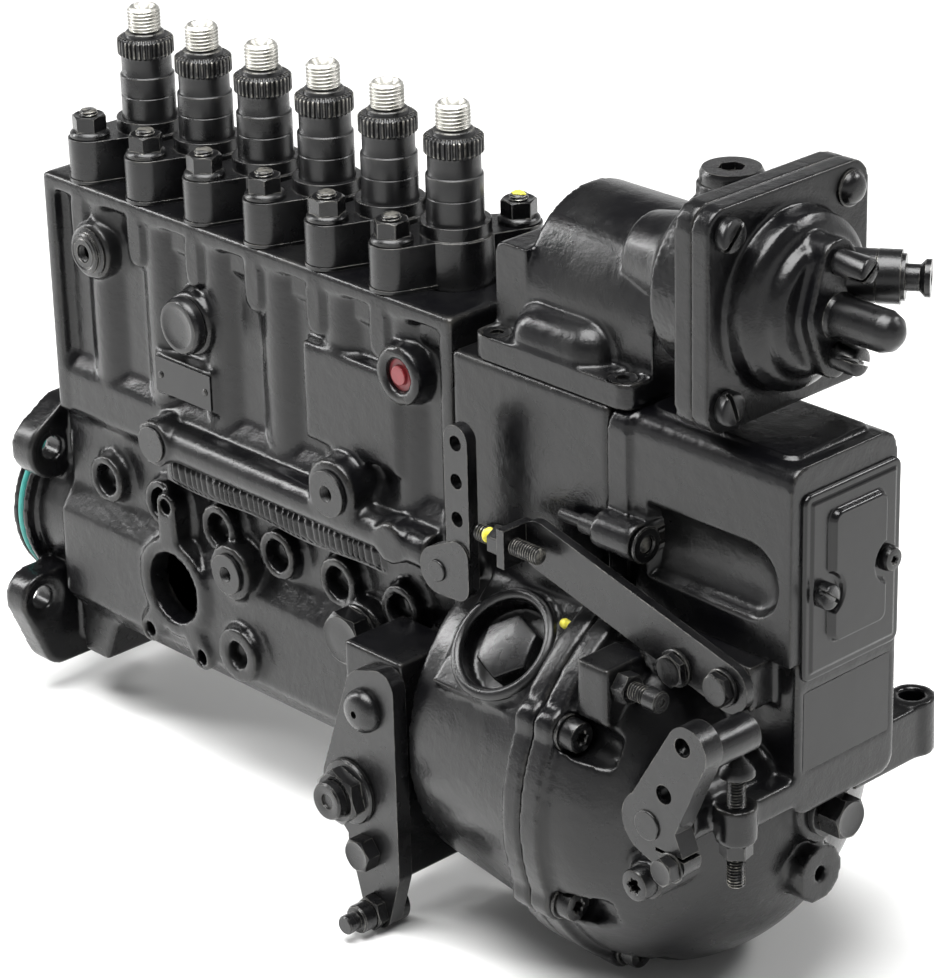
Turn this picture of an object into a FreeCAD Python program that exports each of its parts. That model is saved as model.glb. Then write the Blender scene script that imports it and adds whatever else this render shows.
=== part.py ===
import FreeCAD, Part
import math
import os
from types import SimpleNamespace

import Sketcher

# Six-cylinder in-line diesel injection pump with its governor and boost compensator.
# Frame: origin where the camshaft axis meets the mating face of the drive flange,
# +X along the camshaft towards the governor, +Z up, -Y the side with the levers.
# The drawing lists every size once, and all pieces take their sizes from it.

Vector = FreeCAD.Vector
Rotation = FreeCAD.Rotation

os.makedirs("parts", exist_ok=True)
doc = FreeCAD.newDocument("InjectionPump")
sheet = doc.addObject("Spreadsheet::Sheet", "Sizes")

sizeTable = [
    # general
    ("running_gap", 0.05, "radial clearance of a running fit"),
    ("seat_gap", 0.3, "clearance between parts that only lie near each other"),
    # pumping elements
    ("pitch", 38, "distance between pumping elements"),
    ("first_x", 56, "first element from the flange face"),
    ("deck_z", 170.4, "deck of the pump housing above the camshaft"),
    ("outlet_top", 243, "top of a delivery valve holder"),
    ("outlet_radius", 7, "outlet thread M14"),
    ("outlet_bore", 2.2, "fuel passage in a delivery valve holder"),
    ("outlet_cone", 5, "mouth of the sealing cone in the outlet"),
    ("thread_length", 12, "visible outlet thread"),
    ("serration_radius", 12, "toothed collar of a valve holder"),
    ("serration_length", 10, "height of the toothed collar"),
    ("holder_neck", 10.7, "valve holder radius under the collar"),
    ("holder_radius", 11.6, "valve holder body radius"),
    ("holder_shoulder", 214, "top of the valve holder body"),
    ("holder_bottom", 160, "lower end of a valve holder"),
    ("bushing_radius", 15.5, "flange bushing shank radius"),
    ("bushing_bottom", 84, "lower end of a flange bushing"),
    ("bushing_top", 195, "top of the bushing's round collar"),
    ("collar_radius", 14.3, "round collar on the bushing"),
    ("flange_top", 189.5, "top of the bushing's two-lug flange"),
    ("flange_body", 18, "radius of the bushing flange round the holder"),
    ("lug_radius", 9.5, "radius of the lug round a stud"),
    ("stud_dx", 10, "stud offset along the pump"),
    ("stud_dy", 25, "stud offset across the pump"),
    ("stud_radius", 4, "stud M8"),
    ("stud_hole", 4.5, "clearance hole for a stud"),
    ("stud_top", 203.5, "top of a stud"),
    ("stud_bottom", 150, "lower end of a stud in the housing"),
    ("nut_across", 13, "nut width across flats"),
    ("nut_height", 8, "nut height"),
    ("washer_radius", 8, "washer under a nut"),
    ("washer_thickness", 1.6, "washer thickness"),
    ("shim_thickness", 1.5, "shims under a bushing flange"),
    ("barrel_radius", 11.5, "barrel radius inside the bushing"),
    ("barrel_nose", 8.5, "barrel radius inside the control sleeve"),
    ("barrel_top", 150, "top of a barrel"),
    ("barrel_step", 86, "step between barrel nose and barrel"),
    ("barrel_bottom", 67, "lower end of a barrel"),
    ("valve_radius", 9, "delivery valve body radius"),
    ("valve_lift_gap", 1.2, "room above the delivery valve cone"),
    ("plunger_radius", 5.5, "plunger radius"),
    ("plunger_top", 140, "top of a plunger at full lift"),
    ("plunger_foot", 6.5, "plunger foot radius"),
    ("vane_width", 22.5, "cross vane that turns the plunger"),
    ("vane_thickness", 4, "vane thickness"),
    ("vane_bottom", 63.6, "underside of the vane"),
    ("sleeve_radius", 11.5, "control sleeve radius"),
    ("sleeve_top", 80, "top of a control sleeve"),
    ("spring_outer", 13.2, "plunger spring outer radius"),
    ("spring_inner", 9.6, "plunger spring inner radius"),
    # camshaft and tappets
    ("journal_radius", 12.5, "camshaft journal radius"),
    ("shaft_radius", 14, "camshaft radius between cams"),
    ("cam_base", 16, "cam base circle radius"),
    ("cam_lift", 11, "cam lift"),
    ("cam_nose", 8, "cam nose radius"),
    ("cam_width", 14, "cam width"),
    ("roller_radius", 9, "tappet roller radius"),
    ("roller_width", 13, "tappet roller width"),
    ("tappet_radius", 15, "tappet body radius"),
    ("tappet_top", 50, "top of a tappet at full lift"),
    ("shaft_end", -40, "threaded end of the camshaft"),
    ("taper_start", -26, "small end of the drive taper"),
    ("taper_end", -4, "large end of the drive taper"),
    ("taper_small", 10.3, "small radius of the drive taper"),
    ("drive_thread", 8, "thread radius of the shaft end"),
    ("key_width", 4, "key width"),
    ("key_radius", 8, "radius of the half-round key"),
    ("bearing_width", 16, "width of a bearing"),
    ("cup_radius", 26, "bearing cup outer radius"),
    ("cup_bore", 21.5, "bearing cup bore radius"),
    ("roller_set_radius", 21.2, "outer radius over the bearing rollers"),
    ("seal_radius", 20, "shaft seal outer radius"),
    ("seal_width", 7, "shaft seal width"),
    ("hub_start", 292, "governor hub, pump side"),
    ("hub_length", 54, "length of the governor hub"),
    ("tail_back", 18, "setback of the camshaft's end from the hub's end"),
    ("carrier_radius", 30, "radius of the flyweight carrier's disc"),
    ("carrier_disc", 8, "thickness of the flyweight carrier's disc"),
    ("carrier_hub", 16, "radius of the flyweight carrier's hub"),
    ("weight_offset", 33, "flyweight axis from the start of the hub"),
    ("weight_radius", 20, "flyweight radius"),
    ("weight_low", 18, "inner face of a flyweight at rest"),
    ("weight_high", 42, "outer face of a flyweight at rest"),
    ("rod_half", 60, "half length of the rod that carries the flyweights"),
    ("rod_nut", 9, "radius of a spring nut on that rod"),
    ("rod_nut_height", 4, "height of a spring nut"),
    ("bolt_radius", 8, "sliding bolt radius"),
    ("bolt_collar", 13, "radius of the collar on the sliding bolt"),
    ("bolt_collar_width", 4, "width of that collar"),
    # pump housing
    ("house_start", 22, "drive end of the pump housing"),
    ("house_end", 278, "governor end of the pump housing"),
    ("upper_half", 34.4, "half width at the deck lip"),
    ("recess_half", 28.5, "half width of the recessed upper wall"),
    ("lip_height", 7, "height of the deck lip"),
    ("end_wall", 7, "raised edge at the ends of the upper wall"),
    ("lower_half", 38, "half width of the cam chamber walls"),
    ("house_bottom", -41, "underside of the housing"),
    ("shoulder_top", 88, "top of the shoulder over the rack"),
    ("shoulder_half", 34, "half width of the shoulder over the rack"),
    ("waist_half", 30, "half width at the tappets"),
    ("waist_top", 60, "top of the waist at the tappets"),
    ("waist_bottom", 24, "bottom of the waist at the tappets"),
    ("column_radius", 15.5, "bulge of the wall round each element"),
    ("stud_boss_radius", 8.5, "boss round each stud in the wall"),
    ("stud_boss_drop", 23, "length of a stud boss below the deck"),
    ("chamber_half", 28.5, "half width of the cam chamber"),
    ("chamber_bottom", -29, "floor of the cam chamber"),
    ("chamber_top", 32, "roof of the cam chamber"),
    ("rail_y", -38, "axis of the cast gallery along the front"),
    ("rail_z", 70, "height of the cast gallery"),
    ("rail_radius", 8, "radius of the cast gallery"),
    ("access_radius", 11, "outer radius of a tappet access boss"),
    ("access_bore", 7, "bore of a tappet access boss"),
    ("access_z", 36, "height of the tappet access bosses"),
    ("access_face", -37.5, "face of the tappet access bosses"),
    ("feed_x", 103, "feed pump opening along the pump"),
    ("feed_z", 0, "feed pump opening height"),
    ("feed_face", -41, "face of the feed pump flange"),
    ("feed_bore", 16, "feed pump bore radius"),
    ("feed_ring", 22.5, "feed pump flange radius"),
    ("stud_ear", 6, "radius of a feed pump flange ear"),
    ("ear_hole", 3.4, "thread radius in a feed pump flange ear"),
    ("port_x", 252, "fuel port along the pump"),
    ("port_z", 141, "fuel port height"),
    ("port_radius", 12.5, "fuel port boss radius"),
    ("port_bore", 7, "fuel port thread radius"),
    ("port_depth", 14, "depth of the fuel port"),
    ("port_face", -40, "face of the fuel port boss"),
    ("rack_y", -26, "control rack axis"),
    ("rack_z", 72, "control rack height"),
    ("rack_radius", 5, "control rack radius"),
    ("rack_start", 44, "drive end of the control rack"),
    ("rack_end", 300, "governor end of the control rack"),
    ("rack_travel", 10.5, "rack travel each way"),
    ("arm_reach", 25, "ball centre from the plunger axis"),
    ("arm_width", 3, "width of a control sleeve arm"),
    ("ball_radius", 2.8, "ball on a control sleeve arm"),
    ("slot_gap", 0.4, "side clearance of a ball in its rack slot"),
    ("foot_drop", 20, "depth of the foot under the drive end"),
    ("foot_length", 26, "length of that foot"),
    # drive flange
    ("flange_thickness", 14, "drive flange thickness"),
    ("pilot_radius", 41, "centring spigot radius"),
    ("pilot_length", 10, "centring spigot length"),
    ("oring_radius", 1.8, "O-ring section radius"),
    ("bolt_upper_y", 32.3, "upper flange bolt from the centre plane"),
    ("bolt_upper_z", 36.5, "upper flange bolt height"),
    ("bolt_lower_y", 43.7, "lower flange bolt from the centre plane"),
    ("bolt_lower_z", -33.9, "lower flange bolt height"),
    ("bolt_hole", 5.5, "flange bolt hole radius"),
    ("spigot_radius", 31, "spigot that holds the drive end bearing"),
    # governor housing and cover
    ("box_top", 158, "top of the governor housing"),
    ("box_half", 34, "half width of the governor housing"),
    ("bell_start", 287, "pump side of the governor bell"),
    ("bell_end", 362, "joint between governor housing and cover"),
    ("bell_small", 72, "bell radius at the pump side"),
    ("bell_large", 79, "bell radius at the joint"),
    ("rim_radius", 84, "flange radius at the joint"),
    ("rim_width", 10, "width of each joint flange"),
    ("bell_bore", 66, "bore of the governor chamber"),
    ("cover_radius", 80, "radius of the cover's dome behind its flange"),
    ("dome_end", 434, "end of the dome"),
    ("boss_start", 405, "start of the bosses on the dome"),
    ("cover_end", 440, "face of the bosses on the dome"),
    ("neck_half", 28, "half width of the cover's upright neck"),
    ("neck_end", 452, "end face of the cover's neck"),
    ("neck_top", 80, "top of the cover's neck"),
    ("neck_bottom", 16, "bottom of the cover's neck face"),
    ("cover_bolt_radius", 77.5, "bolt circle radius of the cover"),
    ("bolt_seat", 8, "radius of the seat cut round a cover bolt"),
    # spring box
    ("spring_start", 366, "start of the spring box"),
    ("spring_end", 452, "end of the spring box"),
    ("spring_half", 32, "half width of the spring box on the lever side"),
    ("spring_back", 26, "half width of the spring box on the far side"),
    ("spring_bottom", 80, "underside of the spring box"),
    ("spring_top", 158, "top of the spring box"),
    ("spring_wall", 5, "wall of the spring box"),
    ("plate_thickness", 2.5, "access plate thickness"),
    ("plate_half", 26.5, "half width of the access plate"),
    ("plate_bottom", 72, "lower edge of the access plate"),
    ("plate_top", 147, "upper edge of the access plate"),
    # timing plug pad
    ("pad_distance", 75, "distance of the sloped pad from the camshaft axis"),
    ("pad_x", 326, "centre of the timing plug along the pump"),
    ("pad_half", 24, "half length of the sloped pad down the slope"),
    ("ring_radius", 23, "outer radius of the timing port ring"),
    ("ring_bore", 19, "inner radius of the timing port ring"),
    ("ring_height", 4, "height of the timing port ring"),
    ("plug_across", 27, "timing plug width across flats"),
    ("well_depth", 9, "depth of the well round the timing plug"),
    # levers
    ("lever_x", 430, "throttle shaft along the pump"),
    ("lever_z", 28, "throttle shaft height"),
    ("lever_face", -84, "outer face of the throttle lever"),
    ("lever_thickness", 9, "throttle lever thickness"),
    ("lever_hub", 13, "throttle lever hub radius"),
    ("lever_reach", 42, "hub to upper hole of the throttle lever"),
    ("lever_tilt", 27.7, "lean of the throttle lever from upright"),
    ("shaft_lever_radius", 6, "throttle shaft radius"),
    ("lever_boss", 13, "boss that carries the throttle shaft"),
    ("lever_boss_end", -73, "outer end of that boss"),
    ("idle_x", 450, "idle stop screw along the pump"),
    ("idle_y", -58, "idle stop screw across the pump"),
    ("screw_radius", 3.5, "stop screw radius"),
    ("limit_x", 384, "start of the full speed stop screw"),
    ("limit_reach", 28.7, "reach of that screw towards the lever"),
    ("limit_z", 62, "height of the full speed stop screw"),
    ("stop_x", 286, "shut-off shaft along the pump"),
    ("stop_z", 72.5, "shut-off shaft height"),
    ("stop_face", -52, "outer face of the shut-off lever"),
    ("stop_thickness", 6, "shut-off lever thickness"),
    ("stop_hub", 10, "shut-off lever hub radius"),
    ("stop_length", 58, "shut-off lever length above its shaft"),
    ("stop_width", 13, "shut-off lever width"),
    ("stop_shaft", 4.5, "shut-off shaft radius"),
    ("lever_hole", 3.2, "linkage hole radius"),
    # brackets
    ("bar_y", -46, "outer face of the stop bracket bar"),
    ("bar_thickness", 4, "stop bracket bar thickness"),
    ("bar_height", 20, "stop bracket bar height"),
    ("bar_z", 71, "height of the bar screws"),
    ("bar_screw_x", 409, "first bar screw along the pump"),
    ("bar_screw_pitch", 23, "distance of the bar screws"),
    ("support_face", -77, "outer face of the support plate"),
    ("support_thickness", 7, "support plate thickness"),
    ("support_right", 285, "right edge of the support plate"),
    ("block_left", 249, "left side of the spacer block"),
    ("block_top", 36, "top of the spacer block"),
    ("block_bottom", -60, "bottom of the spacer block"),
    ("support_hole", 6, "hole radius in the support plate"),
    ("support_dome_x", 17, "domed screw from the plate's right edge"),
    ("support_dome_z", 14, "height of the domed screw"),
    ("support_stud_x", 27, "stud from the plate's right edge"),
    ("support_stud_z", -26, "height of the stud"),
    ("support_bolt_x", 18, "bolt from the plate's right edge"),
    ("support_bolt_z", -50, "height of the bolt"),
    ("support_pin_x", 14, "stepped stud from the plate's right edge"),
    ("support_pin_z", -76, "height of the stepped stud"),
    ("support_edge", 8, "radius of the plate's outer corners"),
    ("support_waist_z", -56, "height where the plate starts to narrow"),
    ("bracket_left", 50, "stop screw bracket's end from the shut-off shaft"),
    ("bracket_rise", 26, "rise of that end over its bolted end"),
    ("stop_screw_back", 16, "stop screw length behind the bracket's end"),
    ("stop_screw_reach", 18, "stop screw length past the bracket's end"),
    # boost compensator
    ("boost_z", 208, "axis height of the compensator"),
    ("boost_radius", 36, "radius of the compensator's arched top and of its drum"),
    ("boost_wall", 20, "front wall of the compensator from the centre plane"),
    ("arch_top", 220.6, "top of the arched part"),
    ("shelf_top", 202, "top of the step at the pump side"),
    ("boost_start", 305, "pump side of the arched part"),
    ("boost_end", 372, "cover side of the arched part"),
    ("vent_top", 246, "top of the vent plug boss"),
    ("nose_length", 24, "length of the cover's nose from its plate"),
    ("boost_face", 413, "joint of the compensator cover"),
    ("boost_plate", 8, "thickness of each square flange"),
    ("boost_square", 43, "half width of the square flanges"),
    ("boost_screw", 33, "cover screws from the axis"),
    ("base_start", 288, "start of the compensator base flange"),
    ("base_end", 372, "end of the compensator base flange"),
    ("base_half", 33, "half width of the compensator base flange"),
    ("base_thickness", 10.5, "compensator base flange thickness"),
    ("diaphragm_radius", 33, "diaphragm cavity radius"),
    ("rod_radius", 5, "compensator push rod radius"),
    ("rod_travel", 8, "compensator travel"),
    ("stub_radius", 5, "boost hose stub radius"),
    ("stub_length", 9, "boost hose stub length"),
    ("stub_angle", 35, "direction of the hose stub from the camshaft axis"),
]


# A size with its number and its formula over the sheet.
class Size:
    def __init__(self, number, text):
        self.number = float(number)
        self.text = text

    def __add__(self, other):
        other = asSize(other)
        return Size(self.number + other.number, f"({self.text} + {other.text})")

    def __sub__(self, other):
        other = asSize(other)
        return Size(self.number - other.number, f"({self.text} - {other.text})")

    def __mul__(self, other):
        other = asSize(other)
        return Size(self.number * other.number, f"({self.text} * {other.text})")

    def __truediv__(self, other):
        other = asSize(other)
        return Size(self.number / other.number, f"({self.text} / {other.text})")

    def __neg__(self):
        return Size(-self.number, f"(-1 * {self.text})")

    def __radd__(self, other):
        return asSize(other) + self

    def __rsub__(self, other):
        return asSize(other) - self

    def __rmul__(self, other):
        return asSize(other) * self


def asSize(value):
    if isinstance(value, Size):
        return value
    return Size(value, f"({value:.6f})")


dim = SimpleNamespace()
for row, (alias, number, meaning) in enumerate(sizeTable, start=1):
    sheet.set(f"A{row}", meaning)
    sheet.set(f"B{row}", str(number))
    sheet.setAlias(f"B{row}", alias)
    setattr(dim, alias, Size(number, f"Sizes.{alias}"))
doc.recompute()

axisTurn = {
    "X": Rotation(Vector(0, 1, 0), 90),
    "Y": Rotation(Vector(1, 0, 0), -90),
    "Z": Rotation(),
}
sketchPlane = {"X": "YZ_Plane", "Y": "XZ_Plane", "Z": "XY_Plane"}
halfRoot = math.sqrt(0.5)
elementCount = 6


# Binds one property to a formula over the sheet.
def bind(obj, prop, value):
    obj.setExpression(prop, asSize(value).text)


# Puts an object at a place whose three coordinates follow the sheet.
def put(obj, place, turn=Rotation()):
    sizes = [asSize(value) for value in place]
    obj.Placement = FreeCAD.Placement(Vector(*[size.number for size in sizes]), turn)
    for letter, size in zip("xyz", sizes):
        obj.setExpression(f"Placement.Base.{letter}", size.text)
    return obj


# The point at a distance along an axis; centre holds the other two coordinates.
def spot(axis, along, centre):
    first, second = centre
    places = {
        "X": (along, first, second),
        "Y": (first, along, second),
        "Z": (first, second, along),
    }
    return places[axis]


def cylinder(name, axis, start, end, centre, radius):
    obj = doc.addObject("Part::Cylinder", name)
    bind(obj, "Radius", radius)
    bind(obj, "Height", asSize(end) - start)
    return put(obj, spot(axis, start, centre), axisTurn[axis])


def cone(name, axis, start, end, centre, startRadius, endRadius):
    obj = doc.addObject("Part::Cone", name)
    bind(obj, "Radius1", startRadius)
    bind(obj, "Radius2", endRadius)
    bind(obj, "Height", asSize(end) - start)
    return put(obj, spot(axis, start, centre), axisTurn[axis])


def hexagon(name, axis, start, end, centre, across):
    obj = doc.addObject("Part::Prism", name)
    obj.Polygon = 6
    bind(obj, "Circumradius", asSize(across) / math.sqrt(3))
    bind(obj, "Height", asSize(end) - start)
    return put(obj, spot(axis, start, centre), axisTurn[axis])


def box(name, low, high):
    obj = doc.addObject("Part::Box", name)
    for prop, first, last in zip(("Length", "Width", "Height"), low, high):
        bind(obj, prop, asSize(last) - first)
    return put(obj, low)


def ball(name, centre, radius):
    obj = doc.addObject("Part::Sphere", name)
    bind(obj, "Radius", radius)
    return put(obj, centre)


def fuse(name, *pieces):
    obj = doc.addObject("Part::MultiFuse", name)
    obj.Shapes = list(pieces)
    obj.Refine = True
    return obj


def cut(name, base, *tools):
    obj = doc.addObject("Part::Cut", name)
    obj.Base = base
    obj.Tool = tools[0] if len(tools) == 1 else fuse(name + "Tools", *tools)
    return obj


# A sketch on one of the body's own origin planes.
def newSketch(body, role):
    sketch = body.newObject("Sketcher::SketchObject", body.Name + "Sketch")
    plane = [item for item in body.Origin.OriginFeatures if item.Role == role][0]
    sketch.AttachmentSupport = [(plane, "")]
    sketch.MapMode = "FlatFace"
    return sketch


# A closed outline of straight lines, each corner tied to the sheet.
def drawOutline(sketch, points):
    corners = [(asSize(point[0]), asSize(point[1])) for point in points]
    count = len(corners)
    for index in range(count):
        here, there = corners[index], corners[(index + 1) % count]
        line = Part.LineSegment(
            Vector(here[0].number, here[1].number, 0),
            Vector(there[0].number, there[1].number, 0),
        )
        sketch.addGeometry(line, False)
    for index in range(count):
        sketch.addConstraint(Sketcher.Constraint("Coincident", index, 2, (index + 1) % count, 1))
    for index, corner in enumerate(corners):
        for kind, size in zip(("DistanceX", "DistanceY"), corner):
            rule = sketch.addConstraint(Sketcher.Constraint(kind, -1, 1, index, 1, size.number))
            sketch.setExpression(f"Constraints[{rule}]", size.text)


# A piece turned about an axis from a profile of (along, radius) corners.
def turned(name, axis, centre, profile, start=0):
    body = doc.addObject("PartDesign::Body", name)
    sketch = newSketch(body, "XZ_Plane")
    drawOutline(sketch, [(radius, along) for along, radius in profile])
    revolution = body.newObject("PartDesign::Revolution", name + "Turned")
    revolution.Profile = sketch
    revolution.ReferenceAxis = (sketch, ["V_Axis"])
    revolution.Angle = 360
    body.Tip = revolution
    return put(body, spot(axis, start, centre), axisTurn[axis])


# Rounds the edges of a body that run along the axis through the given corners.
def roundCorners(body, axis, corners):
    across = [letter for letter in range(3) if "XYZ"[letter] != axis]
    for number, (first, second, radius) in enumerate(corners):
        doc.recompute()
        base = body.Tip
        wanted = []
        for index, edge in enumerate(base.Shape.Edges, start=1):
            points = [vertex.Point for vertex in edge.Vertexes]
            gaps = [
                abs(point[letter] - asSize(value).number)
                for point in points
                for letter, value in zip(across, (first, second))
            ]
            if len(points) == 2 and max(gaps) < 1e-4:
                wanted.append(f"Edge{index}")
        rounding = body.newObject("PartDesign::Fillet", f"{body.Name}Round{number}")
        rounding.Base = (base, wanted)
        bind(rounding, "Radius", radius)
        body.Tip = rounding


# A plate or block padded along an axis; a third number on a corner rounds it.
def prism(name, axis, start, end, outline):
    body = doc.addObject("PartDesign::Body", name)
    sketch = newSketch(body, sketchPlane[axis])
    drawOutline(sketch, outline)
    pad = body.newObject("PartDesign::Pad", name + "Pad")
    pad.Profile = sketch
    pad.Reversed = axis == "Y"
    bind(pad, "Length", asSize(end) - start)
    body.Tip = pad
    roundCorners(body, axis, [point for point in outline if len(point) == 3])
    return put(body, spot(axis, start, (0, 0)))


# A plate whose outline is a band stretched round circles (first, second, radius).
def banded(name, axis, start, end, circles):
    rings = [tuple(asSize(value) for value in circle) for circle in circles]
    count = len(rings)
    area = sum(
        rings[i][0].number * rings[(i + 1) % count][1].number
        - rings[(i + 1) % count][0].number * rings[i][1].number
        for i in range(count)
    )
    if area < 0:
        rings.reverse()
    leave = []
    for index in range(count):
        here, there = rings[index], rings[(index + 1) % count]
        run = Vector(there[0].number - here[0].number, there[1].number - here[1].number, 0)
        heading = math.atan2(run.y, run.x)
        lean = math.acos((here[2].number - there[2].number) / run.Length)
        leave.append(heading - lean)
    body = doc.addObject("PartDesign::Body", name)
    sketch = newSketch(body, sketchPlane[axis])
    edges = []
    for index, ring in enumerate(rings):
        centre = Vector(ring[0].number, ring[1].number, 0)
        arrive = leave[index - 1]
        depart = leave[index]
        while depart < arrive:
            depart += 2 * math.pi
        circle = Part.Circle(centre, Vector(0, 0, 1), ring[2].number)
        arc = sketch.addGeometry(Part.ArcOfCircle(circle, arrive, depart), False)
        reach = Vector(math.cos(depart), math.sin(depart), 0)
        following = rings[(index + 1) % count]
        target = Vector(following[0].number, following[1].number, 0)
        first = centre + reach * ring[2].number
        last = target + reach * following[2].number
        line = sketch.addGeometry(Part.LineSegment(first, last), False)
        edges.append((arc, line))
    for index, (arc, line) in enumerate(edges):
        following = edges[(index + 1) % count][0]
        sketch.addConstraint(Sketcher.Constraint("Tangent", arc, 2, line, 1))
        sketch.addConstraint(Sketcher.Constraint("Tangent", line, 2, following, 1))
    for (arc, line), ring in zip(edges, rings):
        for kind, size in zip(("DistanceX", "DistanceY"), ring):
            rule = sketch.addConstraint(Sketcher.Constraint(kind, -1, 1, arc, 3, size.number))
            sketch.setExpression(f"Constraints[{rule}]", size.text)
        rule = sketch.addConstraint(Sketcher.Constraint("Radius", arc, ring[2].number))
        sketch.setExpression(f"Constraints[{rule}]", ring[2].text)
    pad = body.newObject("PartDesign::Pad", name + "Pad")
    pad.Profile = sketch
    pad.Reversed = axis == "Y"
    bind(pad, "Length", asSize(end) - start)
    body.Tip = pad
    return put(body, spot(axis, start, (0, 0)))


# The finished pieces, in the order in which they are written.
pieces = []
# Screws and nuts on the outside, which share one node.
outerScrews = []


def keep(node, obj):
    obj.Label = node
    pieces.append(obj)
    return obj


# Several separate solids that share one node.
def group(node, *members):
    obj = doc.addObject("Part::Compound", node + "Group")
    obj.Links = list(members)
    return keep(node, obj)


elementX = [dim.first_x + dim.pitch * index for index in range(elementCount)]
lastX = elementX[-1]
hubEnd = dim.hub_start + dim.hub_length
camshaftTail = hubEnd - dim.tail_back
stopShaftEnd = dim.rack_y - dim.rack_radius - 1.3


# Pump housing: one casting with the cam chamber, six element bores and the rack bore.
def makePumpHousing():
    start, end = dim.house_start, dim.house_end
    lipBottom = dim.deck_z - dim.lip_height
    core = box(
        "UpperWall",
        (start, -dim.recess_half, dim.waist_top),
        (end, dim.recess_half, dim.deck_z),
    )
    lip = box("DeckLip", (start, -dim.upper_half, lipBottom), (end, dim.upper_half, dim.deck_z))
    solids = [core, lip]
    for name, wallStart in (("DriveWall", start), ("GovernorWall", end - dim.end_wall)):
        solids.append(box(
            name,
            (wallStart, -dim.upper_half, dim.waist_top),
            (wallStart + dim.end_wall, dim.upper_half, dim.deck_z),
        ))
    halfProfile = [
        (dim.recess_half, dim.shoulder_top),
        (dim.shoulder_half, dim.shoulder_top - 8),
        (dim.shoulder_half, dim.waist_top + 2),
        (dim.waist_half, dim.waist_top - 4),
        (dim.waist_half, dim.waist_bottom),
        (dim.lower_half, dim.waist_bottom - 12),
        (dim.lower_half, dim.house_bottom + 13),
        (dim.lower_half - 10, dim.house_bottom),
    ]
    mirrored = [(-across, up) for across, up in reversed(halfProfile)]
    solids.append(prism("LowerBody", "X", start, end, halfProfile + mirrored))
    columnY = dim.upper_half - 1 - dim.column_radius
    for index, x in enumerate(elementX):
        for side, sign in (("Front", -1), ("Rear", 1)):
            solids.append(cylinder(
                f"Column{side}{index}", "Z", dim.waist_top, lipBottom + 1,
                (x, sign * columnY), dim.column_radius,
            ))
            studX = x + sign * dim.stud_dx
            solids.append(cylinder(
                f"StudBoss{side}{index}", "Z", dim.deck_z - dim.stud_boss_drop, dim.deck_z - 1,
                (studX, sign * dim.stud_dy), dim.stud_boss_radius,
            ))
        solids.append(cylinder(
            f"AccessBoss{index}", "Y", dim.access_face, -dim.waist_half + 2,
            (x, dim.access_z), dim.access_radius,
        ))
    solids.append(cylinder(
        "Gallery", "X", dim.feed_x + 2, end - 8, (dim.rail_y, dim.rail_z), dim.rail_radius,
    ))
    for name, x, z, face, radius in frontBosses:
        solids.append(cylinder(name, "Y", face, -dim.recess_half + 2, (x, z), radius))
    for index, (x, z) in enumerate(feedEars):
        solids.append(banded(f"FeedEar{index}", "Y", dim.feed_face, -dim.waist_half, [
            (dim.feed_x, dim.feed_z, dim.stud_ear), (x, z, dim.stud_ear),
        ]))
    solids.append(cylinder(
        "FeedRing", "Y", dim.feed_face, -dim.waist_half, (dim.feed_x, dim.feed_z), dim.feed_ring,
    ))
    solids.append(box(
        "MachinedPad", (elementX[3] + 20, -dim.upper_half - 1, dim.shoulder_top + 7),
        (elementX[5], -dim.recess_half, dim.shoulder_top + 50),
    ))
    solids.append(box("PlatePad", platePadLow, platePadHigh))
    solids.append(prism("Foot", "Y", -dim.waist_half, dim.waist_half, [
        (start, dim.house_bottom + 2),
        (start, dim.house_bottom - dim.foot_drop),
        (start + dim.foot_length - 9, dim.house_bottom - dim.foot_drop),
        (start + dim.foot_length, dim.house_bottom + 2),
    ]))
    casting = fuse("HousingCasting", *solids)

    chamber = [
        (dim.chamber_half, dim.chamber_bottom),
        (dim.chamber_half, dim.waist_bottom - 10),
        (dim.chamber_half - 7, dim.chamber_top),
    ]
    chamberLeft = [(-across, up) for across, up in reversed(chamber)]
    bores = [prism(
        "CamChamber", "X", start + dim.flange_thickness, end - dim.bearing_width,
        chamber + chamberLeft,
    )]
    bores.append(cylinder("SpigotBore", "X", start, start + 20, (0, 0), dim.spigot_radius))
    bores.append(cylinder("CupBore", "X", end - 20, end, (0, 0), dim.cup_radius))
    bores.append(cylinder(
        "RackBore", "X", dim.rack_start - dim.rack_travel - 2, end,
        (dim.rack_y, dim.rack_z), dim.rack_radius + dim.running_gap,
    ))
    bores.append(box(
        "ArmSpace", (elementX[0] - 18, dim.rack_y - 3, dim.rack_z - 3.4),
        (lastX + 18, 0, dim.rack_z + 3.4),
    ))
    for index, x in enumerate(elementX):
        bores.append(cylinder(
            f"TappetBore{index}", "Z", dim.chamber_top - 4, dim.tappet_top + 7, (x, 0),
            dim.tappet_radius + dim.running_gap,
        ))
        bores.append(cylinder(
            f"ElementBore{index}", "Z", dim.tappet_top + 6, dim.deck_z + 1, (x, 0),
            dim.bushing_radius,
        ))
        bores.append(cylinder(
            f"AccessBore{index}", "Y", dim.access_face - 1, dim.access_face + 9,
            (x, dim.access_z), dim.access_bore,
        ))
        for side, sign in (("Front", -1), ("Rear", 1)):
            bores.append(cylinder(
                f"StudBore{side}{index}", "Z", dim.stud_bottom, dim.deck_z + 1,
                (x + sign * dim.stud_dx, sign * dim.stud_dy), dim.stud_radius,
            ))
    bores.append(cylinder(
        "FeedBore", "Y", dim.feed_face - 1, -dim.chamber_half + 1,
        (dim.feed_x, dim.feed_z), dim.feed_bore,
    ))
    for index, (x, z) in enumerate(feedEars):
        bores.append(cylinder(
            f"EarHole{index}", "Y", dim.feed_face - 1, dim.feed_face + 10, (x, z), dim.ear_hole,
        ))
    for name, x, z, face, radius, depth in frontHoles:
        bores.append(cylinder(name + "Hole", "Y", face - 1, face + depth, (x, z), radius))
    keep("pump_housing", cut("PumpHousing", casting, *bores))


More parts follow.
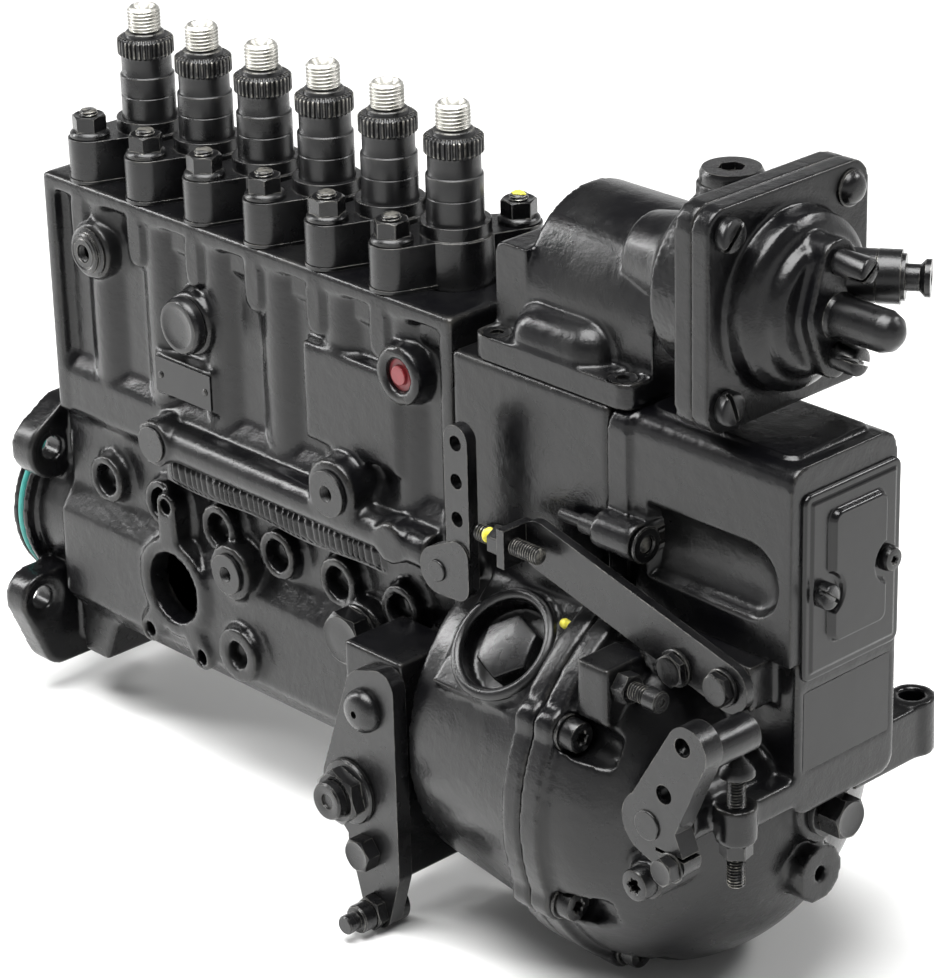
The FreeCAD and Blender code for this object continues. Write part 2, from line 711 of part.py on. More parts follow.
feedEars = [
    (dim.feed_x - 2, dim.feed_z + 38), (dim.feed_x - 18, dim.feed_z - 26),
    (dim.feed_x + 17, dim.feed_z - 28),
]
platePadLow = (elementX[1] + 1, -dim.recess_half - 7.5, dim.shoulder_top + 1)
platePadHigh = (elementX[2] + 1, -dim.recess_half + 1, dim.shoulder_top + 19)
# name, along, height, face, radius
frontBosses = [
    ("UpperLeftBoss", elementX[0] + 1, dim.port_z + 2, dim.port_face + 2, dim.port_radius),
    ("DomePlugBoss", elementX[2] - 11, dim.port_z - 14, dim.port_face + 2, dim.port_radius + 1.5),
    ("FuelPortBoss", dim.port_x, dim.port_z, dim.port_face, dim.port_radius),
    ("GalleryEnd", dim.feed_x, dim.rail_z, dim.rail_y - 8.5, dim.rail_radius + 2.4),
    ("LinkBoss", elementX[4] + 8, dim.rail_z + 12, dim.rail_y - 8, dim.port_radius + 1.5),
    ("GaugeBoss", elementX[2] + 12, dim.access_z - 15, dim.access_face - 4.5, dim.port_radius),
    ("ReturnBoss", elementX[2] + 16, dim.access_z - 52, dim.access_face - 6, dim.port_radius),
    ("HexPlugBoss", elementX[4] + 16, dim.access_z - 16, dim.access_face - 2, dim.port_radius),
    ("GalleryStop", elementX[5] + 4, dim.rail_z, dim.rail_y - 8, dim.rail_radius + 1),
]
# name, along, height, face, hole radius, depth
frontHoles = [
    ("FuelPort", dim.port_x, dim.port_z, dim.port_face, dim.port_bore, dim.port_depth),
    ("Link", elementX[4] + 8, dim.rail_z + 12, dim.rail_y - 8, dim.ear_hole, 10),
    ("Gauge", elementX[2] + 12, dim.access_z - 15, dim.access_face - 4.5, dim.ear_hole, 10),
    ("Return", elementX[2] + 16, dim.access_z - 52, dim.access_face - 6, dim.port_bore - 1, 7.5),
]


# Drive end cover: bolting flange, centring spigot and the drive end bearing seat.
def makeDriveEndCover():
    thick = dim.flange_thickness
    upper, lower = [], []
    for sign in (-1, 1):
        upper.append((sign * dim.bolt_upper_y, dim.bolt_upper_z, 14))
        lower.append((sign * dim.bolt_lower_y, dim.bolt_lower_z, 12.5))
    upperEars = banded("UpperEars", "X", 0, thick, [
        upper[0], (-20, dim.bolt_upper_z + 9, 13), (20, dim.bolt_upper_z + 9, 13), upper[1],
    ])
    lowerEars = banded("LowerEars", "X", 0, thick, [
        lower[0], (-36, dim.bolt_lower_z - 25, 10), (36, dim.bolt_lower_z - 25, 10), lower[1],
    ])
    waist = cylinder("FlangeWaist", "X", 0, dim.house_start, (0, 0), dim.spigot_radius + 4)
    neck = prism("FlangeNeck", "X", thick - 1, dim.house_start, [
        (-25, dim.house_bottom - dim.foot_drop, 5), (25, dim.house_bottom - dim.foot_drop, 5),
        (23, dim.bolt_upper_z + 20, 8), (-23, dim.bolt_upper_z + 20, 8),
    ])
    pilot = cylinder("Pilot", "X", -dim.pilot_length, 0, (0, 0), dim.pilot_radius)
    spigot = cylinder(
        "BearingSpigot", "X", dim.house_start - 1, dim.house_start + thick, (0, 0),
        dim.spigot_radius,
    )
    casting = fuse("EndCoverCasting", upperEars, lowerEars, waist, neck, pilot, spigot)
    cupStart = dim.house_start + thick - dim.bearing_width
    tools = [
        cylinder("CupSeat", "X", cupStart, cupStart + 20, (0, 0), dim.cup_radius),
        cylinder("EndBore", "X", -20, cupStart + 1, (0, 0), dim.journal_radius + 2),
        cylinder("SealSeat", "X", -20, dim.seal_width, (0, 0), dim.seal_radius),
        turned("OringGroove", "X", (0, 0), [
            (-dim.pilot_length + 3, dim.pilot_radius - 2 * (dim.oring_radius + dim.running_gap)),
            (-dim.pilot_length + 3 + 2 * dim.oring_radius,
             dim.pilot_radius - 2 * (dim.oring_radius + dim.running_gap)),
            (-dim.pilot_length + 3 + 2 * dim.oring_radius, dim.pilot_radius + 2),
            (-dim.pilot_length + 3, dim.pilot_radius + 2),
        ]),
    ]
    for name, y, z in (
        ("Upper", dim.bolt_upper_y, dim.bolt_upper_z),
        ("Lower", dim.bolt_lower_y, dim.bolt_lower_z),
    ):
        for sign in (-1, 1):
            tools.append(cylinder(
                f"{name}BoltHole{sign}".replace("-", "N"), "X", -1, thick + 1, (sign * y, z),
                dim.bolt_hole,
            ))
            tools.append(cylinder(
                f"{name}SpotFace{sign}".replace("-", "N"), "X", thick - 1.2, thick + 1,
                (sign * y, z), dim.bolt_hole + 4.5,
            ))
    keep("drive_end_cover", cut("DriveEndCover", casting, *tools))
    ring = doc.addObject("Part::Torus", "Oring")
    bind(ring, "Radius1", dim.pilot_radius - dim.oring_radius - dim.running_gap)
    bind(ring, "Radius2", dim.oring_radius)
    put(ring, (-dim.pilot_length + 3 + dim.oring_radius, 0, 0), axisTurn["X"])
    keep("pilot_oring", ring)
    keep("shaft_seal", turned("ShaftSeal", "X", (0, 0), [
        (0, dim.journal_radius + dim.running_gap), (0, dim.seal_radius),
        (dim.seal_width, dim.seal_radius),
        (dim.seal_width, dim.journal_radius + dim.running_gap),
    ]))


# Camshaft with six cams in firing order, feed pump eccentric, drive taper and key.
def makeCamshaft():
    reach = dim.cam_base + dim.cam_lift - dim.cam_nose
    firingOrder = [1, 5, 3, 6, 2, 4]
    bearingDrive = dim.house_start + dim.flange_thickness
    bearingGovernor = dim.house_end - dim.bearing_width
    blanks = [turned("Shaft", "X", (0, 0), [
        (dim.shaft_end, 0), (dim.shaft_end, dim.drive_thread),
        (dim.taper_start, dim.drive_thread), (dim.taper_start, dim.taper_small),
        (dim.taper_end, dim.journal_radius), (bearingDrive, dim.journal_radius),
        (bearingDrive, dim.shaft_radius), (bearingGovernor, dim.shaft_radius),
        (bearingGovernor, dim.journal_radius), (camshaftTail, dim.journal_radius),
        (camshaftTail, 0),
    ])]
    for index, x in enumerate(elementX):
        angle = math.radians(90 + 60 * firingOrder.index(index + 1))
        blanks.append(banded(
            f"Cam{index}", "X", x - dim.cam_width / 2, x + dim.cam_width / 2,
            [(0, 0, dim.cam_base),
             (reach * math.cos(angle), reach * math.sin(angle), dim.cam_nose)],
        ))
    blanks.append(cylinder(
        "FeedEccentric", "X", elementX[1] + dim.cam_width / 2 + 2,
        elementX[1] + dim.cam_width / 2 + 14, (2, 2), dim.cam_base + 3,
    ))
    blank = fuse("CamshaftBlank", *blanks)
    keyCentre = ((dim.taper_start + dim.taper_end) / 2, dim.journal_radius - 2)
    keySlot = cylinder(
        "KeySlot", "Y", -dim.key_width / 2, dim.key_width / 2, keyCentre, dim.key_radius,
    )
    keep("camshaft", cut("Camshaft", blank, keySlot))
    keyDisc = cylinder(
        "KeyDisc", "Y", -dim.key_width / 2, dim.key_width / 2, keyCentre, dim.key_radius,
    )
    keyTop = box(
        "KeyTop", (dim.taper_start - 5, -dim.key_width, dim.journal_radius + 2),
        (dim.taper_end + 5, dim.key_width, dim.journal_radius + 20),
    )
    keep("camshaft_key", cut("CamshaftKey", keyDisc, keyTop))


# Two roller bearings: cups in the housings, inner rings with rollers on the camshaft.
def makeBearings():
    starts = [
        dim.house_start + dim.flange_thickness - dim.bearing_width,
        dim.house_end - dim.bearing_width,
    ]
    cups, cones = [], []
    ringRadius = dim.journal_radius + 3.5
    rollerRadius = (dim.roller_set_radius - ringRadius - dim.running_gap) / 2
    pitchRadius = dim.roller_set_radius - rollerRadius
    rollerCount = 12
    for number, start in enumerate(starts):
        end = start + dim.bearing_width
        cups.append(turned(f"Cup{number}", "X", (0, 0), [
            (start, dim.cup_bore), (end, dim.cup_bore), (end, dim.cup_radius),
            (start, dim.cup_radius),
        ]))
        cones.append(turned(f"InnerRing{number}", "X", (0, 0), [
            (start, dim.journal_radius), (end, dim.journal_radius), (end, ringRadius),
            (start, ringRadius),
        ]))
        for step in range(rollerCount):
            angle = 2 * math.pi * step / rollerCount
            cones.append(cylinder(
                f"Roller{number}x{step}", "X", start + 1.5, end - 1.5,
                (pitchRadius * math.cos(angle), pitchRadius * math.sin(angle)), rollerRadius,
            ))
    group("bearing_cups", *cups)
    group("bearing_cones", *cones)


# One pumping element: valve holder, bushing, plunger with its control sleeve.
def makeElement(index, x):
    number = index + 1
    at = (x, 0)
    bore = dim.outlet_bore
    collarBottom = dim.outlet_top - dim.thread_length - dim.serration_length
    keep(f"delivery_valve_holder_{number}", turned(f"ValveHolder{number}", "Z", at, [
        (dim.holder_bottom, bore), (dim.holder_bottom, dim.holder_radius),
        (dim.holder_shoulder, dim.holder_radius), (dim.holder_shoulder + 1, dim.holder_neck),
        (collarBottom, dim.holder_neck), (collarBottom + 1, dim.serration_radius),
        (collarBottom + dim.serration_length - 1, dim.serration_radius),
        (collarBottom + dim.serration_length, dim.outlet_radius + 2),
        (collarBottom + dim.serration_length, dim.outlet_radius),
        (dim.outlet_top - 0.8, dim.outlet_radius), (dim.outlet_top, dim.outlet_radius - 0.8),
        (dim.outlet_top, dim.outlet_cone), (dim.outlet_top - 4, bore),
    ]))
    flangeBottom = dim.deck_z + dim.shim_thickness
    shank = turned(f"Bushing{number}", "Z", at, [
        (dim.bushing_bottom, dim.barrel_nose + 0.2), (dim.bushing_bottom, dim.bushing_radius),
        (flangeBottom, dim.bushing_radius), (dim.flange_top, dim.bushing_radius),
        (dim.flange_top, dim.collar_radius), (dim.bushing_top, dim.collar_radius),
        (dim.bushing_top, dim.holder_radius), (dim.barrel_step, dim.holder_radius),
        (dim.barrel_step, dim.barrel_nose + 0.2),
    ])
    flange = banded(
        f"BushingFlange{number}", "Z", flangeBottom, dim.flange_top, flangeCircles(x, 0),
    )
    holes = [cylinder(
        f"FlangeBore{number}", "Z", flangeBottom - 1, dim.flange_top + 1, at,
        dim.bushing_radius - 1,
    )]
    for side, sign in (("Front", -1), ("Rear", 1)):
        holes.append(cylinder(
            f"LugHole{side}{number}", "Z", flangeBottom - 1, dim.flange_top + 1,
            (x + sign * dim.stud_dx, sign * dim.stud_dy), dim.stud_hole,
        ))
    drilled = cut(f"DrilledFlange{number}", flange, *holes)
    keep(f"flange_bushing_{number}", fuse(f"FlangeBushing{number}", shank, drilled))

    plungerBottom = dim.tappet_top + dim.seat_gap
    plunger = cylinder(f"Plunger{number}", "Z", plungerBottom, dim.plunger_top, at, dim.plunger_radius)
    foot = cylinder(f"Foot{number}", "Z", plungerBottom, plungerBottom + 2.5, at, dim.plunger_foot)
    vaneTop = dim.vane_bottom + 3
    vane = box(
        f"Vane{number}", (x - dim.vane_width / 2, -dim.vane_thickness / 2, dim.vane_bottom),
        (x + dim.vane_width / 2, dim.vane_thickness / 2, vaneTop),
    )
    sleeve = turned(f"Sleeve{number}", "Z", at, [
        (dim.vane_bottom, dim.barrel_nose + dim.running_gap),
        (dim.vane_bottom, dim.sleeve_radius), (dim.sleeve_top, dim.sleeve_radius),
        (dim.sleeve_top, dim.barrel_nose + dim.running_gap),
    ])
    arm = box(
        f"Arm{number}", (x - dim.arm_width / 2, -dim.arm_reach, dim.rack_z - 2),
        (x + dim.arm_width / 2, -dim.sleeve_radius + 1, dim.rack_z + 2),
    )
    knob = ball(f"Ball{number}", (x, -dim.arm_reach, dim.rack_z), dim.ball_radius)
    keep(f"plunger_{number}", fuse(f"PlungerSet{number}", plunger, foot, vane, sleeve, arm, knob))


def flangeCircles(x, extra):
    return [
        (x, 0, dim.flange_body + extra),
        (x - dim.stud_dx, -dim.stud_dy, dim.lug_radius + extra),
        (x + dim.stud_dx, dim.stud_dy, dim.lug_radius + extra),
    ]


# What the six elements share: barrels, delivery valves, springs, tappets, studs and nuts.
def makeElementGroups():
    barrels, valves, springs, tappets, shims, studs, nuts = [], [], [], [], [], [], []
    flangeBottom = dim.deck_z + dim.shim_thickness
    rollerZ = dim.cam_base + dim.cam_lift + dim.seat_gap + dim.roller_radius
    tappetBottom = dim.chamber_top - 2
    for index, x in enumerate(elementX):
        at = (x, 0)
        plungerBore = dim.plunger_radius + dim.running_gap
        barrels.append(turned(f"Barrel{index}", "Z", at, [
            (dim.barrel_bottom, plungerBore), (dim.barrel_bottom, dim.barrel_nose),
            (dim.barrel_step, dim.barrel_nose), (dim.barrel_step, dim.barrel_radius),
            (dim.barrel_top, dim.barrel_radius), (dim.barrel_top, plungerBore),
        ]))
        valves.append(turned(f"Valve{index}", "Z", at, [
            (dim.barrel_top, 0), (dim.barrel_top, dim.valve_radius),
            (dim.barrel_top + 5, dim.valve_radius), (dim.barrel_top + 5, 5),
            (dim.holder_bottom - dim.valve_lift_gap, 3), (dim.holder_bottom - dim.valve_lift_gap, 0),
        ]))
        springs.append(turned(f"Spring{index}", "Z", at, [
            (dim.tappet_top, dim.spring_inner), (dim.tappet_top, dim.spring_outer),
            (dim.vane_bottom - dim.seat_gap, dim.spring_outer),
            (dim.vane_bottom - dim.seat_gap, dim.spring_inner),
        ]))
        tappetBody = cylinder(
            f"TappetBody{index}", "Z", tappetBottom, dim.tappet_top, at, dim.tappet_radius,
        )
        rollerSpace = box(
            f"RollerSpace{index}",
            (x - dim.roller_width / 2 - 0.1, -dim.roller_radius - 0.5, tappetBottom - 5),
            (x + dim.roller_width / 2 + 0.1, dim.roller_radius + 0.5,
             rollerZ + dim.roller_radius + 0.5),
        )
        pinRadius = dim.roller_radius / 3
        body = cut(f"SlottedTappet{index}", tappetBody, rollerSpace)
        pin = cylinder(
            f"RollerPin{index}", "X", x - dim.roller_width / 2 - 3, x + dim.roller_width / 2 + 3,
            (0, rollerZ), pinRadius,
        )
        tappets.append(fuse(f"Tappet{index}", body, pin))
        tappets.append(turned(f"TappetRoller{index}", "X", (0, rollerZ), [
            (x - dim.roller_width / 2, pinRadius + dim.running_gap),
            (x + dim.roller_width / 2, pinRadius + dim.running_gap),
            (x + dim.roller_width / 2, dim.roller_radius),
            (x - dim.roller_width / 2, dim.roller_radius),
        ]))
        plate = banded(f"ShimPlate{index}", "Z", dim.deck_z, flangeBottom, flangeCircles(x, 0.4))
        shimTools = [cylinder(
            f"ShimBore{index}", "Z", dim.deck_z - 1, flangeBottom + 1, at, dim.bushing_radius,
        )]
        for side, sign in (("Front", -1), ("Rear", 1)):
            spotXY = (x + sign * dim.stud_dx, sign * dim.stud_dy)
            shimTools.append(cylinder(
                f"ShimHole{side}{index}", "Z", dim.deck_z - 1, flangeBottom + 1, spotXY,
                dim.stud_hole,
            ))
            studs.append(cylinder(
                f"Stud{side}{index}", "Z", dim.stud_bottom, dim.stud_top, spotXY, dim.stud_radius,
            ))
            nutBottom = dim.flange_top + dim.washer_thickness
            nutHex = hexagon(
                f"NutHex{side}{index}", "Z", nutBottom, nutBottom + dim.nut_height, spotXY,
                dim.nut_across,
            )
            washerDisc = cylinder(
                f"WasherDisc{side}{index}", "Z", dim.flange_top, nutBottom, spotXY,
                dim.washer_radius,
            )
            studSpace = cylinder(
                f"StudSpace{side}{index}", "Z", dim.flange_top - 1, dim.stud_top + 1, spotXY,
                dim.stud_radius,
            )
            nuts.append(cut(
                f"Nut{side}{index}", fuse(f"NutBlank{side}{index}", nutHex, washerDisc), studSpace,
            ))
        shims.append(cut(f"Shim{index}", plate, *shimTools))
    group("barrels", *barrels)
    group("delivery_valves", *valves)
    group("plunger_springs", *springs)
    group("roller_tappets", *tappets)
    group("bushing_shims", *shims)
    group("bushing_studs", *studs)
    group("bushing_nuts", *nuts)


# Control rack with one slot for the ball of each control sleeve.
def makeControlRack():
    bar = cylinder(
        "RackBar", "X", dim.rack_start, dim.rack_end, (dim.rack_y, dim.rack_z), dim.rack_radius,
    )
    half = dim.ball_radius + dim.slot_gap
    slots = [box(
        f"RackSlot{index}", (x - half, -dim.arm_reach - dim.ball_radius - 0.6, dim.rack_z - 6),
        (x + half, 0, dim.rack_z + 6),
    ) for index, x in enumerate(elementX)]
    keep("control_rack", cut("ControlRack", bar, *slots))


# Closing plugs, the cap in the fuel port and the blank plates on the housings.
def makeHousingTrim():
    plugs = []
    for name, x, z, face, radius, height in (
        ("UpperLeftPlug", elementX[0] + 1, dim.port_z + 2, dim.port_face + 2, 8, 4),
        ("GalleryPlug", dim.feed_x, dim.rail_z, dim.rail_y - 8.5, 8, 1.2),
        ("GaugePlug", elementX[2] + 12, dim.access_z - 15, dim.access_face - 4.5, 9, 2),
        ("LinkPlug", elementX[4] + 8, dim.rail_z + 12, dim.rail_y - 8, 10, 2),
    ):
        disc = cylinder(name, "Y", face - height, face, (x, z), radius)
        if name in ("GaugePlug", "LinkPlug"):
            disc = cut(name + "Ring", disc, cylinder(
                name + "Hole", "Y", face - height - 1, face + 1, (x, z), dim.ear_hole,
            ))
        plugs.append(disc)
    domeX, domeZ, domeFace = elementX[2] - 11, dim.port_z - 14, dim.port_face + 2
    plugs.append(turned("DomePlug", "Y", (domeX, domeZ), [
        (domeFace, 0), (domeFace, 12), (domeFace - 3, 12), (domeFace - 5, 9), (domeFace - 5.6, 0),
    ]))
    hexX, hexZ, hexFace = elementX[4] + 16, dim.access_z - 16, dim.access_face - 2
    plugs.append(fuse(
        "HexPlug",
        cylinder("HexPlugWasher", "Y", hexFace - 2, hexFace, (hexX, hexZ), 12),
        hexagon("HexPlugHead", "Y", hexFace - 9, hexFace - 2, (hexX, hexZ), 21),
    ))
    group("housing_plugs", *plugs)
    keep("port_cap", turned("PortCap", "Y", (dim.port_x, dim.port_z), [
        (dim.port_face + 1, 0), (dim.port_face + 1, 4), (dim.port_face + 3, 4),
        (dim.port_face + 3, dim.port_bore), (dim.port_face + dim.port_depth, dim.port_bore),
        (dim.port_face + dim.port_depth, 0),
    ]))
    sidePlate = box(
        "SidePlate", (platePadLow[0] + 1, platePadLow[1] - 0.8, platePadLow[2] + 1),
        (platePadHigh[0] - 1, platePadLow[1], platePadHigh[2] - 1),
    )
    endPlate = box(
        "EndLabel", (dim.neck_end - 0.8, -dim.neck_half + 4, dim.neck_bottom + 18),
        (dim.neck_end, dim.neck_half - 4, dim.plate_bottom - 5),
    )
    group("blank_plates", sidePlate, endPlate)


# A cylinder or box on the sloped pad, laid out down the slope and outward from it.
def slopedPlace(x, down, out):
    return (x, (asSize(down) - out) * halfRoot, (asSize(down) + out) * halfRoot)


slopeTurn = Rotation(Vector(1, 0, 0), 45)


def slopedBox(name, low, high):
    obj = doc.addObject("Part::Box", name)
    for prop, first, last in zip(("Length", "Width", "Height"), low, high):
        bind(obj, prop, asSize(last) - first)
    return put(obj, slopedPlace(*low), slopeTurn)


def slopedCylinder(name, x, start, end, radius):
    obj = doc.addObject("Part::Cylinder", name)
    bind(obj, "Radius", radius)
    bind(obj, "Height", asSize(end) - start)
    return put(obj, slopedPlace(x, 0, start), slopeTurn)


coverBoltAngles = [30, 150, 205, 243, 297, 335]


# The cover bolts, as places across the camshaft axis.
def coverBoltPlaces():
    return [(
        dim.cover_bolt_radius * math.cos(math.radians(angle)),
        dim.cover_bolt_radius * math.sin(math.radians(angle)),
    ) for angle in coverBoltAngles]


# Governor housing: upright box for the linkage over a bell for the flyweights.
def makeGovernorHousing():
    start = dim.house_end
    flange = prism("PumpFlange", "X", start, dim.bell_start, [
        (-dim.lower_half + 1, dim.house_bottom + 10, 12),
        (dim.lower_half - 1, dim.house_bottom + 10, 12),
        (dim.lower_half - 1, dim.rail_z - 8), (dim.box_half, dim.rail_z + 6),
        (dim.box_half, dim.box_top), (-dim.box_half, dim.box_top),
        (-dim.box_half, dim.rail_z + 6), (-dim.lower_half + 1, dim.rail_z - 8),
    ])
    upright = box(
        "Upright", (start, -dim.box_half, dim.shaft_radius * 2), (dim.bell_end, dim.box_half, dim.box_top),
    )
    rimStart = dim.bell_end - dim.rim_width
    bell = turned("Bell", "X", (0, 0), [
        (dim.bell_start, 0), (dim.bell_start, dim.bell_small), (rimStart, dim.bell_large),
        (rimStart, dim.rim_radius), (dim.bell_end, dim.rim_radius), (dim.bell_end, 0),
    ])
    solids = [flange, upright, bell]
    for index, place in enumerate(coverBoltPlaces()):
        solids.append(cylinder(f"HousingEar{index}", "X", rimStart, dim.bell_end, place, 9))
    padLow = dim.pad_x - dim.ring_radius - 3
    solids.append(slopedBox(
        "SlopedPad", (padLow, -dim.pad_half, dim.bell_bore - 10),
        (rimStart + 2, dim.pad_half, dim.pad_distance),
    ))
    ringTop = dim.pad_distance + dim.ring_height
    solids.append(slopedCylinder("PlugRing", dim.pad_x, dim.bell_bore, ringTop, dim.ring_radius))
    solids.append(cylinder(
        "StopShaftBoss", "Y", dim.stop_face + dim.stop_thickness + 3, -dim.box_half + 4,
        (dim.stop_x, dim.stop_z), dim.stop_shaft + 3.5,
    ))
    casting = fuse("GovernorCasting", *solids)
    tools = [
        turned("BellBore", "X", (0, 0), [
            (dim.bell_start + 5, 0), (dim.bell_start + 5, dim.bell_bore),
            (dim.bell_end + 1, dim.bell_bore), (dim.bell_end + 1, 0),
        ]),
        cylinder("ShaftPassage", "X", start - 1, dim.bell_start + 6, (0, 0), dim.journal_radius + 1),
        cylinder(
            "RackPassage", "X", start - 1, dim.rack_end + dim.rack_travel + 3,
            (dim.rack_y, dim.rack_z), dim.rack_radius + dim.running_gap,
        ),
        slopedCylinder(
            "PlugWell", dim.pad_x, ringTop - dim.well_depth, ringTop + 2, dim.ring_bore,
        ),
        cylinder(
            "StopShaftBore", "Y", -dim.box_half - 20, stopShaftEnd + dim.seat_gap,
            (dim.stop_x, dim.stop_z), dim.stop_shaft + dim.running_gap,
        ),
        cylinder(
            "RodPassage", "Z", dim.box_top - 30, dim.box_top + 1,
            (dim.boost_start + 28, 0), dim.rod_radius - 1,
        ),
    ]
    keep("governor_housing", cut("GovernorHousing", casting, *tools))
    plugFloor = ringTop - dim.well_depth
    hexHead = doc.addObject("Part::Prism", "TimingHex")
    hexHead.Polygon = 6
    bind(hexHead, "Circumradius", dim.plug_across / math.sqrt(3))
    bind(hexHead, "Height", dim.well_depth - 1)
    put(hexHead, slopedPlace(dim.pad_x, 0, plugFloor), slopeTurn)
    collar = slopedCylinder(
        "TimingCollar", dim.pad_x, plugFloor, plugFloor + 2, dim.ring_bore - 1,
    )
    keep("timing_plug", fuse("TimingPlug", hexHead, collar))


# Governor cover: flange, domed body, upright neck with the end face, bosses and stops.
drainPlace = (1, -24)
plugPlace = (3, 4)
sideScrewPlace = (dim.boss_start + 9, -8)
sideBossFace = -dim.bell_bore - 3
lugPlace = (dim.dome_end - 2, 62)


def makeGovernorCover():
    start = dim.bell_end
    rimEnd = start + dim.rim_width
    dome = doc.addObject("Part::Ellipsoid", "Dome")
    dome.Angle1 = 0
    bind(dome, "Radius1", dim.dome_end - rimEnd + 1)
    bind(dome, "Radius2", dim.cover_radius)
    bind(dome, "Radius3", dim.cover_radius)
    put(dome, (rimEnd - 1, 0, 0), axisTurn["X"])
    rim = cylinder("CoverRim", "X", start, rimEnd, (0, 0), dim.rim_radius)
    solids = [dome, rim]
    for index, place in enumerate(coverBoltPlaces()):
        solids.append(cylinder(f"CoverEar{index}", "X", start, rimEnd, place, 9))
    solids.append(prism("Neck", "X", start, dim.neck_end, [
        (-dim.neck_half, dim.neck_bottom, 7), (dim.neck_half, dim.neck_bottom, 7),
        (dim.neck_half, dim.neck_top), (-dim.neck_half, dim.neck_top),
    ]))
    solids.append(box(
        "NeckShoulder", (start, -dim.spring_half, dim.neck_top - 22),
        (start + 30, dim.spring_half, dim.neck_top),
    ))
    barBack = dim.bar_y + dim.bar_thickness
    solids.append(box(
        "BarPad", (dim.bar_screw_x - 10, barBack, dim.bar_z - 9),
        (dim.bar_screw_x + dim.bar_screw_pitch + 10, -dim.neck_half + 2, dim.bar_z + 9),
    ))
    solids.append(cylinder(
        "LeverBoss", "Y", dim.lever_boss_end, -dim.neck_half + 2, (dim.lever_x, dim.lever_z),
        dim.lever_boss,
    ))
    solids.append(cylinder(
        "IdleBoss", "Z", dim.neck_bottom + 3, dim.neck_bottom + 18, (dim.idle_x, dim.idle_y),
        8,
    ))
    solids.append(box(
        "IdleWeb", (dim.neck_end - 12, dim.idle_y, dim.neck_bottom + 5),
        (dim.neck_end, -dim.neck_half + 2, dim.neck_bottom + 16),
    ))
    solids.append(box(
        "LimitBlock", (rimEnd + 4, dim.idle_y - 8, dim.limit_z - 18),
        (rimEnd + 20, dim.idle_y + 14, dim.limit_z + 8),
    ))
    solids.append(cylinder("DrainBoss", "X", dim.boss_start, dim.cover_end, drainPlace, 12))
    solids.append(cylinder("PlugBoss", "X", dim.boss_start, dim.cover_end, plugPlace, 14))
    solids.append(cylinder(
        "SideScrewBoss", "Y", sideBossFace, -30, sideScrewPlace, 8,
    ))
    solids.append(cylinder("LiftLug", "Z", 4, 28, lugPlace, 9.5))
    solids.append(box("LiftArm", (lugPlace[0] - 8, 20, 5), (lugPlace[0] + 8, lugPlace[1], 27)))
    casting = fuse("CoverCasting", *solids)
    screwRoom = dim.screw_radius
    tools = [
        turned("CoverHollow", "X", (0, 0), [
            (start - 1, 0), (start - 1, dim.bell_bore - 6), (start + 18, dim.bell_bore - 6),
            (start + 18, 20), (start + 45, 20), (start + 45, 0),
        ]),
        cylinder(
            "LeverBore", "Y", dim.lever_boss_end - 1, -dim.neck_half + 4,
            (dim.lever_x, dim.lever_z), dim.shaft_lever_radius + dim.running_gap,
        ),
        cylinder("IdleBore", "Z", dim.neck_bottom, dim.neck_bottom + 20,
                 (dim.idle_x, dim.idle_y), screwRoom),
        cylinder("LimitBore", "X", rimEnd + 3, rimEnd + 21, (dim.idle_y, dim.limit_z), screwRoom),
        cylinder("LimitNutSeat", "X", rimEnd + 20, rimEnd + 30, (dim.idle_y, dim.limit_z), 7.5),
        cylinder("LugBore", "Z", 3, 29, lugPlace, 5),
        cylinder("DrainBore", "X", dim.cover_end - 8, dim.cover_end + 1, drainPlace, 3),
        box(
            "SpringSeat", (start - 1, -dim.box_half, dim.spring_bottom),
            (dim.cover_end, dim.box_half, dim.spring_bottom + 10),
        ),
        box(
            "LabelPocket", (dim.neck_end - 0.8, -dim.neck_half + 4, dim.neck_bottom + 18),
            (dim.neck_end + 1, dim.neck_half - 4, dim.plate_bottom - 5),
        ),
    ]
    for index, place in enumerate(coverBoltPlaces()):
        tools.append(cylinder(f"BoltSeat{index}", "X", rimEnd, rimEnd + 24, place, dim.bolt_seat))
    keep("governor_cover", cut("GovernorCover", casting, *tools))


# Spring box bolted on the cover, with its access plate.
def makeSpringBox():
    start, end = dim.spring_start, dim.spring_end
    half, back = dim.spring_half, dim.spring_back
    low, high = dim.spring_bottom, dim.spring_top
    shell = prism("SpringShell", "X", start, end, [
        (-half, low), (back, low), (back, high, 8), (-half, high, 8),
    ])
    ridge = prism("SpringRidge", "X", start - 4, start + 6, [
        (-half - 2, low), (back + 2, low), (back + 2, high, 8), (-half - 2, high, 8),
    ])
    boss = cylinder("SpringBoss", "X", start - 4, start + 18, (-half - 5, high - 48), 7.5)
    casting = fuse("SpringCasting", shell, ridge, boss)
    wall = dim.spring_wall
    groove = cylinder("SpringGroove", "X", start + 16, end - 6, (-half - 7, high - 49), 12)
    hollow = box("SpringHollow", (start - 5, -half + 13, low + wall),
                 (end - wall, back - wall, high - wall))
    keep("spring_box", cut("SpringBox", casting, groove, hollow))
    plate = prism("AccessPlateBlank", "X", end, end + dim.plate_thickness, [
        (-dim.plate_half, dim.plate_bottom, 4), (dim.plate_half, dim.plate_bottom, 4),
        (dim.plate_half, dim.plate_top, 4), (-dim.plate_half, dim.plate_top, 4),
    ])
    raised = prism("RaisedPanel", "X", end, end + dim.plate_thickness + 2, [
        (-12, dim.plate_bottom + 13, 3), (12, dim.plate_bottom + 13, 3),
        (12, dim.plate_top - 9, 3), (-12, dim.plate_top - 9, 3),
    ])
    keep("access_plate", fuse("AccessPlate", plate, raised))


